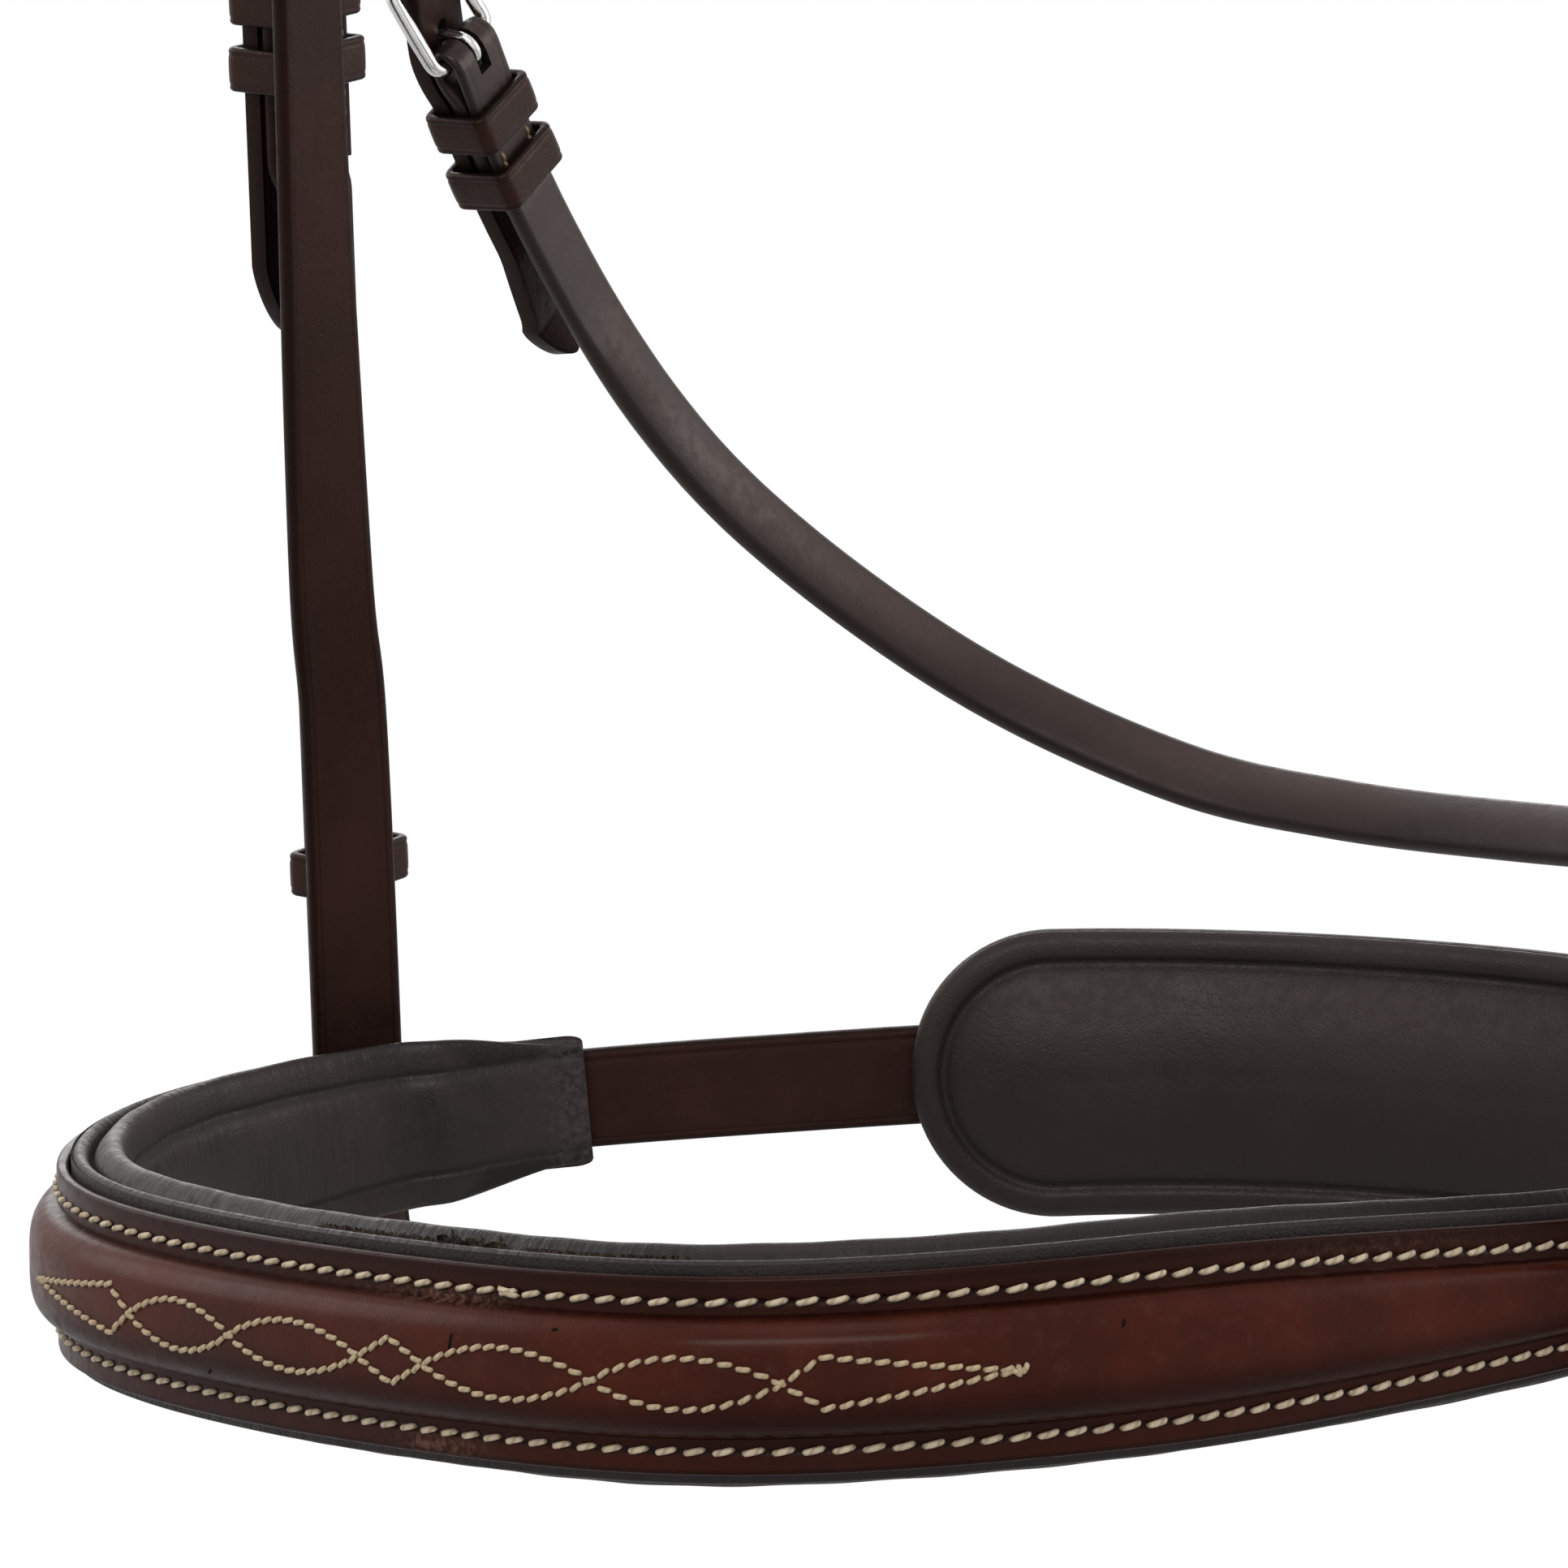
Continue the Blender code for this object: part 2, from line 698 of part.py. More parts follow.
# Holes of a billet: the long one in use and the spare ones beyond and before it
def billet_holes(path, s0, way, base, side, beyond, before):
    parts = []
    low, high = base - cut_overrun / 2, base + front_rise + cut_overrun
    width = 2 * (tongue_wire + clearance)
    used = slot_outline(local(s0, way, billet_slot_from), local(s0, way, billet_slot_to), width)
    parts.append(prism(path, used, low, high, side))
    for k in range(1, beyond + 1):
        where = local(s0, way, -fixed_keeper_at - hole_pitch * k - hole_size)
        parts.append(prism(path, hole_outline(where, hole_size), low, high, side))
    for k in range(1, before + 1):
        where = local(s0, way, buckle_length + hole_pitch * k - hole_size)
        parts.append(prism(path, hole_outline(where, hole_size), low, high, side))
    return parts


# Opening in the fold that lets the tongue turn
def fold_cut(obj, path, s0, way, base, side):
    a, b = local(s0, way, -fold_slot_back), local(s0, way, cut_overrun)
    half = tongue_wire + 2 * clearance
    outline = [(a, -half), (b, -half), (b, half), (a, half)]
    verts, faces = prism(path, outline, base - cut_overrun, base + front_rise + cut_overrun, side)
    cut(obj, verts, faces)


# Leather band bent through (across, out) points at one length
def band(name, path, s, length, points, thick, closed, side=1, look=(BROWN, 0.45, 0.0), origin=None):
    points = np.asarray(points, float)
    p, t, w, n = frame_at(path, np.array([s]))
    p, t, w, n = p[0], t[0], w[0], n[0]
    mid = p + w * points[:, :1] + n * points[:, 1:2]
    if closed:
        run = unit(np.roll(mid, -1, 0) - np.roll(mid, 1, 0))
    else:
        run = unit(np.gradient(mid, axis=0))
    out = unit(np.cross(run, t))
    half = np.full(len(points), length / 2)
    across, rise = strap_section(half, np.full(len(points), thick))
    rings = mid[:, None] + t * across[..., None] + out[:, None] * rise[..., None]
    verts, faces = skin(to_side(rings, side), closed)
    place = None if origin is None else to_side(p, side)
    return add_body(name, verts, faces, look, origin=place)


# Keeper round a stack of straps
def keeper(name, path, s, length, low, high, half, side=1, slack=clearance, loose=False):
    inside_w = half + slack
    reach = inside_w + keeper_thick / 2
    bottom = low - slack - keeper_thick / 2
    top = high + slack + keeper_thick / 2
    r = keeper_corner
    pts = []
    for cw, cv, first in ((reach - r, top - r, 0.0), (-reach + r, top - r, 90.0),
                          (-reach + r, bottom + r, 180.0), (reach - r, bottom + r, 270.0)):
        for a in np.radians((first, first + 90.0)):
            pts.append((cw + r * math.cos(a), cv + r * math.sin(a)))
    origin = True if loose else None
    return band(name, path, s, length, pts, keeper_thick, True, side, (DARK, 0.42, 0.0), origin)


# Frame, tongue, fixed keeper and runner of one buckle
def buckle_set(label, path, s0, way, base, half, thick, side=1, slack=clearance):
    buckle_frame(label + "_buckle_frame", path, s0, way, base, half, side)
    buckle_tongue(label + "_buckle_tongue", path, s0, way, base, thick, side)
    top = base + billet_rises(thick)[2] + thick / 2
    keeper(label + "_fixed_keeper", path, local(s0, way, -fixed_keeper_at), keeper_length, base, top,
           half, side, slack)
    keeper(label + "_runner", path, local(s0, way, -runner_at), runner_length, base, top,
           half, side, slack + clearance, True)


# Plate of cells between two layers, left open where the mask is empty
def plate(name, pos, nrm, thick, mask, look):
    rows, cols = pos.shape[:2]
    top = (pos + nrm * thick / 2).reshape(-1, 3)
    low = (pos - nrm * thick / 2).reshape(-1, 3)
    verts = np.vstack([top, low])
    shift = rows * cols
    faces = []

    def filled(i, j):
        return 0 <= i < rows - 1 and 0 <= j < cols - 1 and mask[i][j]

    for i in range(rows - 1):
        for j in range(cols - 1):
            if not mask[i][j]:
                continue
            a, b = i * cols + j, i * cols + j + 1
            c, d = a + cols, b + cols
            faces.append([a, b, d, c])
            faces.append([a + shift, c + shift, d + shift, b + shift])
            for open_side, p, q in ((filled(i - 1, j), a, b), (filled(i + 1, j), d, c),
                                    (filled(i, j - 1), c, a), (filled(i, j + 1), b, d)):
                if not open_side:
                    faces.append([q, p, p + shift, q + shift])
    return add_body(name, verts, faces, look)


# Centre line, across and out directions of one headpiece billet on the near side
def billet_strip(path, rows, first):
    rows = refine(rows, step)
    p, _t, w, n = frame_at(path, rows[:, 0])
    mid = p + n * rows[:, 1:2]
    mid = np.vstack([[first * split_ease_share + mid[0] * (1 - split_ease_share)], mid])
    across = np.vstack([w[:1], w])
    across = np.where(across[:, 1:2] < 0, -across, across)
    out = unit(np.cross(across, np.gradient(mid, axis=0)))
    out = np.where(out[:, :1] < 0, -out, out)
    halves = np.r_[rows[0, 3], rows[:, 3]][:, None]
    return np.stack([mid - across * halves, mid + across * halves], 1), np.stack([out, out], 1)


# Headpiece: wide crown, split at each side into a cheek billet and a throat billet
def headpiece(arch, cheek, throat):
    rise = hanger_thick + clearance + strap_thick / 2
    cheek_s0 = cheek_s(cheek, cheek_bar_height)
    throat_s0 = throat["s"][-1] - throat_bar
    split_z = split_height - noseband_drop
    side_x = arch_half + rise
    edges = (-crown_half_width, -slit_front, slit_rear, crown_half_width)
    cheek_rows = billet_rows(cheek_s0, -1, 0.0, cheek_width / 2, strap_thick, cheek_bar_height - cheek_tip_height)
    throat_rows = billet_rows(throat_s0, 1, 0.0, throat_width / 2, strap_thick, throat_tip, throat_tip_ride,
                              throat_tip_play)
    front, front_out = billet_strip(cheek, cheek_rows, np.array([side_x, (edges[0] + edges[1]) / 2, split_z]))
    rear, rear_out = billet_strip(throat, throat_rows, np.array([side_x, (edges[2] + edges[3]) / 2, split_z]))
    count = max(len(front), len(rear))
    side_pos, side_out, side_mask = [], [], []
    for k in range(count):
        i, j = min(k, len(front) - 1), min(k, len(rear) - 1)
        side_pos.append(np.vstack([front[i], rear[j]]))
        side_out.append(np.vstack([front_out[i], rear_out[j]]))
        side_mask.append([k < len(front), False, k < len(rear)])
    arch_s = stations(arch["s"][0], arch["s"][-1], wide_step)
    p, _t, _w, n = frame_at(arch, arch_s)
    shift = np.array([[0.0, y, 0.0] for y in edges])
    arch_pos = [q + m * rise + shift for q, m in zip(p, n)]
    arch_out = [np.array([m] * 4) for m in n]
    split_pos = np.array([[side_x, y, split_z] for y in edges])
    split_out = np.array([[1.0, 0.0, 0.0]] * 4)
    side_pos, side_out = [split_pos] + side_pos, [split_out] + side_out
    flip = np.array([-1.0, 1.0, 1.0])
    pos = np.array([row * flip for row in side_pos[::-1]] + arch_pos + side_pos)
    out = np.array([row * flip for row in side_out[::-1]] + arch_out + side_out)
    mask = side_mask[::-1] + [[True, True, True]] * (len(arch_pos) + 1) + side_mask
    plate("headpiece", pos, out, strap_thick, mask, (DARK, 0.42, 0.0))
    obj = bpy.data.objects["headpiece"]
    cutters = []
    for side in (1, -1):
        cutters += billet_holes(cheek, cheek_s0, -1, 0.0, side, 2, 0)
        cutters += billet_holes(throat, throat_s0, 1, 0.0, side, 1, 0)
    verts, faces = join(cutters)
    cut(obj, verts, faces)
    return cheek_s0, throat_s0


# Padding under the crown, with a channel for the noseband strap
def crown_pad(arch):
    s = stations(-crown_pad_half_length, crown_pad_half_length, wide_step)
    half = np.full(len(s), crown_pad_half_width)
    ends = np.clip((crown_pad_half_length - np.abs(s)) / wide_step, 0.0, 1.0)
    half = half - (1 - ends) * crown_pad_rim
    low = pad_depth * (0.55 + 0.45 * ends)
    one = np.ones(len(s))
    top = (hanger_thick - clearance / 3) * one
    left = (hanger_crown_y - hanger_width / 2 - clearance * 2) * one
    right = (hanger_crown_y + hanger_width / 2 + clearance * 2) * one
    rim = crown_pad_rim * one
    across = np.stack([-half, -half + rim, left, left, right, right, half - rim, half,
                       half + crown_pad_bulge, half - rim, half * 0.62, half * 0, -half * 0.62,
                       -half + rim, -half - crown_pad_bulge], 1)
    rise = np.stack([top * 0.4, top, top, -clearance * one, -clearance * one, top, top, top * 0.4,
                     -low * 0.25, -low * 0.66, -low * 0.93, -low, -low * 0.93, -low * 0.66,
                     -low * 0.25], 1)
    p, _t, w, n = frame_at(arch, s)
    rings = p[:, None] + w[:, None] * across[..., None] + n[:, None] * rise[..., None]
    verts, faces = skin(rings)
    add_body("crown_pad", verts, faces, (SOFT, 0.6, 0.0))


# Plan of the browband from the sewn inner end of the far loop to the near one
def brow_path():
    inner_x = arch_half - clearance - brow_thick / 2
    outer_x = arch_half + hanger_thick + strap_thick + 2 * clearance + brow_thick / 2
    mid_x, turn = (inner_x + outer_x) / 2, (outer_x - inner_x) / 2
    half = [(inner_x, brow_sewn_y), (inner_x, brow_sewn_y / 2), (inner_x, 0.0), (inner_x, brow_rear)]
    for a in np.radians(np.linspace(180.0, 0.0, 7)[1:]):
        half.append((mid_x + turn * math.cos(a), brow_rear + turn * math.sin(a)))
    half += [(outer_x, 0.0), (outer_x, brow_open_y / 2), (outer_x, brow_open_y)]
    half.append((brow_side_x + 0.45 * (outer_x - brow_side_x), (brow_open_y + brow_close_y) / 2))
    half.append((brow_side_x, brow_close_y - brow_thick))
    depth = brow_front - brow_close_y
    for a in np.radians(np.linspace(0.0, 90.0, 10)[1:]):
        half.append((brow_side_x * max(0.0, math.cos(a)) ** 0.9,
                     brow_close_y - brow_thick + (depth + brow_thick) * math.sin(a)))
    half = np.asarray(half)
    far = half[:-1] * np.array([-1.0, 1.0])
    plan = np.vstack([far, half[::-1]])
    forward = np.clip((brow_close_y - plan[:, 1]) / (brow_close_y - brow_front), 0.0, 1.0)
    z = brow_height - noseband_drop - brow_sag * forward ** 1.5
    return plan, z, forward


# Raised leather section: flat flanges with a roll between, by half height and crown
def raised_section(half, low, leather, flange, crown):
    h, c = half, crown
    f = np.minimum(flange, half * 0.4)
    rest = h - f
    across = np.stack([-h, h, h, rest, rest - rest * 0.12, rest * 0.62, rest * 0, -rest * 0.62,
                       -rest + rest * 0.12, -rest, -h], 1)
    top = low + leather
    rise = np.stack([low, low, top - edge_chamfer, top, top + c * 0.45, top + c * 0.90, top + c,
                     top + c * 0.90, top + c * 0.45, top, top - edge_chamfer], 1)
    return across, rise


# Padded lining section: sewn rim, groove and a full pillow
def padded_section(half, low, depth, rim, rim_depth, swell):
    h = half
    across_side = [h - rim * 0.6, h + rim * 0.6, h + rim, h + rim * 0.2, h - rim * 1.1, h + swell * 0.55,
                   h + swell, h + swell * 0.62, h * 0.78]
    rise_side = [0 * h, -rim_depth * 0.18, -rim_depth * 0.55, -rim_depth * 0.92, -rim_depth * 1.12,
                 -rim_depth - (depth - rim_depth) * 0.20, -rim_depth - (depth - rim_depth) * 0.46,
                 -rim_depth - (depth - rim_depth) * 0.74, -rim_depth - (depth - rim_depth) * 0.95]
    across = across_side + [h * 0] + [-a for a in across_side[::-1]]
    rise = rise_side + [-depth] + rise_side[::-1]
    return np.stack(across, 1), low[:, None] + np.stack(rise, 1)


# Browband: leather face with its loops, and the padded lining behind the front
def browband():
    plan, z, forward = brow_path()
    mid = np.column_stack([plan, z])
    run = unit(np.gradient(mid, axis=0))
    up = np.array([0.0, 0.0, 1.0])
    out = unit(np.cross(run, np.broadcast_to(up, run.shape)))
    front = np.clip(forward * 6.0, 0.0, 1.0)
    half = brow_loop_half + (brow_half_height - brow_loop_half) * front
    crown = brow_crown * np.clip(forward * 4.0, 0.0, 1.0) + edge_chamfer * 0.2
    low = np.full(len(half), -brow_thick / 2)
    across, rise = raised_section(half, low, brow_thick - edge_chamfer * 0.2, brow_flange, crown)
    rings = mid[:, None] + up * across[..., None] + out[:, None] * rise[..., None]
    verts, faces = skin(rings)
    add_body("browband_face", verts, faces, (BROWN, 0.35, 0.0))
    pick = np.nonzero(plan[:, 1] < brow_close_y - brow_lining_inset)[0]
    half, low, mid, out = half[pick], low[pick] - clearance, mid[pick], out[pick]
    ends = np.ones(len(pick))
    ends[0] = ends[-1] = 0.55
    across, rise = padded_section(half - (1 - ends) * brow_lining_rise, low, brow_lining_depth * ends,
                                  brow_lining_rim, brow_lining_rim_depth * ends, brow_lining_rise)
    rings = mid[:, None] + up * across[..., None] + out[:, None] * rise[..., None]
    verts, faces = skin(rings)
    add_body("browband_lining", verts, faces, (SOFT, 0.6, 0.0))


# Nosepiece half height at a length from the middle
def nose_height(s):
    return nose_half_height + (nose_end_half_height - nose_half_height) * ramp(s, nose_full_to, nose_end)


# Gap that the strap ends take between leather and lining
def nose_lift(s):
    room = strap_thick / 2 + clearance - clearance / 2
    return clearance / 2 + room * ramp(s, nose_lift_from, nose_lift_to)


# Nosepiece leather and its padded lining
def nosepiece(ring):
    inner = stations(0.0, nose_end - nose_end_round, step)
    tail = nose_end - nose_end_round * np.array([0.75, 0.5, 0.28, 0.1, 0.0])
    s = np.concatenate([inner, tail])
    s = np.concatenate([-s[:0:-1], s])
    a = np.abs(s)
    round_off = np.clip((nose_end - a) / nose_end_round, 0.0, 1.0)
    half = nose_height(a) * (0.55 + 0.45 * np.sqrt(1 - (1 - round_off) ** 2))
    crown = nose_crown + (nose_side_crown - nose_crown) * ramp(a, nose_full_to * 0.6, hanger_near_s * 0.9)
    crown = crown + (nose_end_crown - nose_side_crown) * ramp(a, hanger_far_s, nose_end)
    lift = nose_lift(a)
    p, _t, w, n = frame_at(ring, s)
    across, rise = raised_section(half, lift, nose_leather, nose_flange, crown)
    rings = p[:, None] + w[:, None] * across[..., None] + n[:, None] * rise[..., None]
    verts, faces = skin(rings)
    add_body("nosepiece_leather", verts, faces, (BROWN, 0.35, 0.0))
    soft_end = nose_end + clearance * 4
    inner = stations(0.0, soft_end - lining_taper, step)
    tail = soft_end - lining_taper * np.array([0.75, 0.5, 0.3, 0.12, 0.04, 0.0])
    s = np.concatenate([inner, tail])
    s = np.concatenate([-s[:0:-1], s])
    a = np.abs(s)
    ease = ramp(soft_end - a, 0.0, lining_taper)
    corner = np.clip((soft_end - a) / lining_corner, 0.0, 1.0)
    half = nose_height(a) * (0.90 + 0.10 * corner)
    depth = lining_depth + (lining_end_depth - lining_depth) * ramp(a, nose_full_to, nose_end)
    depth = depth * (0.36 + 0.64 * ease)
    across, rise = padded_section(half, -nose_lift(a), depth, lining_rim, lining_rim_depth * depth / lining_depth,
                                  lining_rise * ease)
    p, _t, w, n = frame_at(ring, s)
    rings = p[:, None] + w[:, None] * across[..., None] + n[:, None] * rise[..., None]
    verts, faces = skin(rings)
    add_body("nosepiece_lining", verts, faces, (SOFT, 0.6, 0.0))


# Nested rounded outlines lofted into a cushion on a strap's route
def cushion(name, path, s_mid, half_length, half_height, levels, look):
    quarter = 7
    loops = []
    for inset, rise in levels:
        radius = half_height - inset
        straight = half_length - half_height
        pts = []
        for turn in np.radians(np.linspace(-90.0, 90.0, 2 * quarter - 1)):
            pts.append((straight + radius * math.cos(turn), radius * math.sin(turn)))
        for x in np.linspace(straight, -straight, 9)[1:-1]:
            pts.append((x, radius))
        for turn in np.radians(np.linspace(90.0, 270.0, 2 * quarter - 1)):
            pts.append((-straight + radius * math.cos(turn), radius * math.sin(turn)))
        for x in np.linspace(-straight, straight, 9)[1:-1]:
            pts.append((x, -radius))
        pts = np.asarray(pts)
        waist = 1 - pad_waist / half_height * np.cos(pts[:, 0] / half_length * math.pi / 2)
        pts[:, 1] *= waist
        loops.append(lay(path, s_mid + pts[:, 0], np.full(len(pts), rise), pts[:, 1]))
    count = len(loops[0])
    verts = np.vstack(loops)
    faces = []
    for j in range(len(loops) - 1):
        for i in range(count):
            k = (i + 1) % count
            faces.append([j * count + i, j * count + k, (j + 1) * count + k, (j + 1) * count + i])
    start = quarter - 1
    for level, flip in ((0, True), (len(loops) - 1, False)):
        base = level * count
        upper = [base + (start + i) % count for i in range(count // 2 + 1)]
        lower = [base + (start - i) % count for i in range(count // 2 + 1)]
        for i in range(len(upper) - 1):
            for face in ([upper[i], upper[i + 1], lower[i + 1]], [upper[i], lower[i + 1], lower[i]]):
                if len(set(face)) == 3:
                    faces.append(face[::-1] if flip else face)
    return add_body(name, verts, faces, look)


# Jaw pad: soft cushion, leather backing and two bridges over the strap
def jaw_pad(ring):
    mid = -pad_far_end - pad_half_length
    back = -strap_thick / 2 - clearance
    seam = back - pad_backing
    top = seam - clearance
    ch = pad_channel_inset
    deep = pad_cushion_depth
    cushion("jaw_pad_backing", ring, mid, pad_half_length, pad_half_height,
            [(edge_chamfer, back), (0.0, back - edge_chamfer), (0.0, seam + edge_chamfer),
             (edge_chamfer, seam)], (DARK, 0.45, 0.0))
    levels = [(edge_chamfer, top), (0.0, top - deep * 0.08), (0.0, top - deep * 0.22),
              (ch * 0.25, top - deep * 0.40), (ch * 0.62, top - deep * 0.42),
              (ch * 0.90, top - deep * 0.36 + pad_channel_depth), (ch * 1.15, top - deep * 0.42),
              (ch * 1.6, top - deep * 0.70), (ch * 2.4, top - deep * 0.90), (ch * 3.6, top - deep)]
    cushion("jaw_pad_cushion", ring, mid, pad_half_length, pad_half_height, levels, (SOFT, 0.55, 0.0))
    half = rear_width / 2 + clearance + keeper_thick / 2
    high = strap_thick / 2 + clearance + keeper_thick / 2
    foot = back + clearance + keeper_thick / 2
    for label, way in (("far", 1), ("near", -1)):
        pts = [(-half - pad_loop_foot, foot), (-half - pad_loop_foot * 0.4, foot), (-half, foot + keeper_thick / 2),
               (-half + keeper_thick * 0.3, high), (0.0, high), (half - keeper_thick * 0.3, high),
               (half, foot + keeper_thick / 2), (half + pad_loop_foot * 0.4, foot), (half + pad_loop_foot, foot)]
        pts = [(w + math.copysign(keeper_thick, w) if w else w, v) for w, v in pts]
        s = mid + way * (pad_half_length - pad_loop_inset)
        band("jaw_pad_loop_" + label, ring, s, pad_loop_length, pts, keeper_thick, False, 1, (DARK, 0.45, 0.0))


# Rear strap of the noseband, through the jaw pad to its point, and the short buckle end
def rear_straps(ring):
    half = rear_width / 2
    s0, base = rear_bar, -strap_thick / 2
    rows = [(ring["length"] - rear_start, 0.0, strap_thick, half, 0.0),
            (s0 + 2 * buckle_length, 0.0, strap_thick, half, 0.0)]
    rows += billet_rows(s0, 1, base, half, strap_thick, rear_tip, rear_tip_ride)
    strap = ribbon("noseband_rear_strap", ring, rows, look=(DARK, 0.45, 0.0))
    verts, faces = join(billet_holes(ring, s0, 1, base, 1, 0, 0))
    cut(strap, verts, faces)
    rows = [(rear_start, 0.0, strap_thick, half, 0.0)]
    rows += fold_rows(s0, 1, base, half, strap_thick, rear_fold)
    chape = ribbon("noseband_near_chape", ring, rows, look=(DARK, 0.45, 0.0))
    fold_cut(chape, ring, s0, 1, base, 1)
    buckle_set("noseband", ring, s0, 1, base, half, strap_thick, 1, clearance * 1.5)


# Noseband hanger over the poll and its short near-side buckle end
def hanger(path):
    half = hanger_width / 2
    s0 = hanger_s(path, hanger_bar_height)
    foot = float(path["s"][0])
    rows = [(foot, hanger_thick / 2, hanger_thick, half * 0.55, 0.0),
            (foot + half * 0.25, hanger_thick / 2, hanger_thick, half * 0.85, 0.0),
            (foot + half * 0.7, hanger_thick / 2, hanger_thick, half, 0.0)]
    rows.append((s0 - buckle_length * 1.6, hanger_thick / 2, hanger_thick, half, 0.0))
    rows += billet_rows(s0, -1, 0.0, half, hanger_thick, hanger_tip)
    strap = ribbon("noseband_hanger", path, rows, look=(DARK, 0.42, 0.0), pitch=wide_step)
    verts, faces = join(billet_holes(path, s0, -1, 0.0, 1, 1, 0))
    cut(strap, verts, faces)
    end = float(path["s"][-1])
    rows = [(end, hanger_thick / 2, hanger_thick, half * 0.55, 0.0),
            (end - half * 0.25, hanger_thick / 2, hanger_thick, half * 0.85, 0.0),
            (end - half * 0.7, hanger_thick / 2, hanger_thick, half, 0.0)]
    rows += fold_rows(s0, -1, 0.0, half, hanger_thick, hanger_fold)
    chape = ribbon("hanger_near_chape", path, rows, look=(DARK, 0.42, 0.0), pitch=wide_step)
    fold_cut(chape, path, s0, -1, 0.0, 1)
    buckle_set("hanger", path, s0, -1, 0.0, half, hanger_thick)


# Cheekpiece: buckle end, strap, and the turned-up end that holds the bit
def cheekpiece(path, s0, side, label):
    half = cheek_width / 2
    turned = strap_thick + clearance
    loop = (bit_gap + strap_thick) / 2
    loop_mid = (strap_thick - turned) / 2
    bottom = cheek_s(path, bit_loop_height) - loop - strap_thick / 2
    neck = bottom - bit_loop_taper
    rows = fold_rows(s0, -1, 0.0, half, strap_thick, cheek_fold)[::-1]
    rows.append((neck, strap_thick / 2, strap_thick, half, 0.0))
    for share, rise in ((0.45, 0.18), (0.8, 0.62)):
        rows.append((neck + bit_loop_taper * share, strap_thick / 2 + (loop - turned / 2) * rise,
                     strap_thick, half, 0.0))
    for a in np.radians(np.linspace(90.0, -90.0, 10)):
        rows.append((bottom + loop * math.cos(a), loop_mid + loop * math.sin(a), strap_thick, half, 0.0))
    inner = -clearance - strap_thick / 2
    for share, rise in ((0.8, 0.62), (0.45, 0.18)):
        rows.append((neck + bit_loop_taper * share, inner - (loop - turned / 2) * rise,
                     strap_thick, half, 0.0))
    rows.append((neck, inner, strap_thick, half, 0.0))
    rows += point_rows(cheek_s(path, turn_up_tip), -1, inner, strap_thick, half)
    strap = ribbon("cheek_strap_" + label, path, rows, side, (DARK, 0.42, 0.0), long_step)
    fold_cut(strap, path, s0, -1, 0.0, side)
    stud_s = cheek_s(path, stud_height)
    cutters = [prism(path, hole_outline(stud_s, 2 * (stud_shank + clearance)), clearance / 2 - clearance,
                     strap_thick + cut_overrun, side),
               prism(path, slot_outline(stud_s - stud_slot_length / 2, stud_s + stud_slot_length / 2, stud_slot),
                     -strap_thick * 3, -clearance / 2, side)]
    verts, faces = join(cutters)
    cut(strap, verts, faces)
    buckle_set("cheek_" + label, path, s0, -1, 0.0, half, strap_thick, side)
    low = -turned
    for part, height in (("low_keeper", low_keeper_height), ("loop_keeper", loop_keeper_height)):
        keeper("cheek_" + label + "_" + part, path, cheek_s(path, height), keeper_length, low, strap_thick,
               half, side)
    hook_stud("hook_stud_" + label, path, stud_s, side)


# Hook stud: rivet head outside, shank through both layers, lifted button inside
def hook_stud(name, path, s, side):
    outer = strap_thick + clearance
    inner = -strap_thick - 2 * clearance
    rings = [(0.55, stud_head, outer + stud_head_thick, 0.0), (1.0, stud_head, outer + stud_head_thick * 0.55, 0.0),
             (1.0, stud_head, outer, 0.0), (1.0, stud_shank, outer, 0.0),
             (1.0, stud_shank, inner - clearance, 0.0),
             (1.0, stud_button, inner - clearance, -stud_button_rise * 0.5),
             (1.0, stud_button, inner - clearance - stud_head_thick * 0.5, -stud_button_rise),
             (0.6, stud_button, inner - clearance - stud_head_thick, -stud_button_rise)]
    turn = np.linspace(0.0, 2 * math.pi, 12, endpoint=False)
    out = []
    for scale, radius, rise, shift in rings:
        r = radius * scale
        out.append(lay(path, s + shift + r * np.cos(turn), np.full(12, rise), r * np.sin(turn)))
    verts, faces = skin(to_side(np.array(out), side))
    add_body(name, verts, faces, (METAL, 0.25, 1.0))


# Throatlatch strap with a buckle at each end
def throatlatch(path, s0):
    half = throat_width / 2
    near = fold_rows(s0, 1, 0.0, half, strap_thick, throat_fold)
    far = [(-s, v, t, h, m) for s, v, t, h, m in near][::-1]
    strap = ribbon("throat_strap", path, far + near, 1, (DARK, 0.42, 0.0), wide_step, throat_crown)
    fold_cut(strap, path, s0, 1, 0.0, 1)
    fold_cut(strap, path, -s0, -1, 0.0, 1)
    buckle_set("throat_left", path, s0, 1, 0.0, half, strap_thick)
    buckle_set("throat_right", path, -s0, -1, 0.0, half, strap_thick)


def main():
    clear_scene()
    ring = ring_path()
    arch = arch_path()
    cheek = cheek_path()
    throat = throat_path()
    hang = hanger_path(ring)
    cheek_s0, throat_s0 = headpiece(arch, cheek, throat)
    crown_pad(arch)
    browband()
    for label, side in (("left", 1), ("right", -1)):
        cheekpiece(cheek, cheek_s0, side, label)
    nosepiece(ring)
    rear_straps(ring)
    jaw_pad(ring)
    hanger(hang)
    throatlatch(throat, throat_s0)


main()
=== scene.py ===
"""Looks of an english bridle: a padded noseband with raised, fancy-stitched leather, hung by its straps.

Metres, +Z up, the horse's front toward -Y. Every strap is laid out along a curved route:
s runs along the strap, v out of its face and w across it.
"""
import math

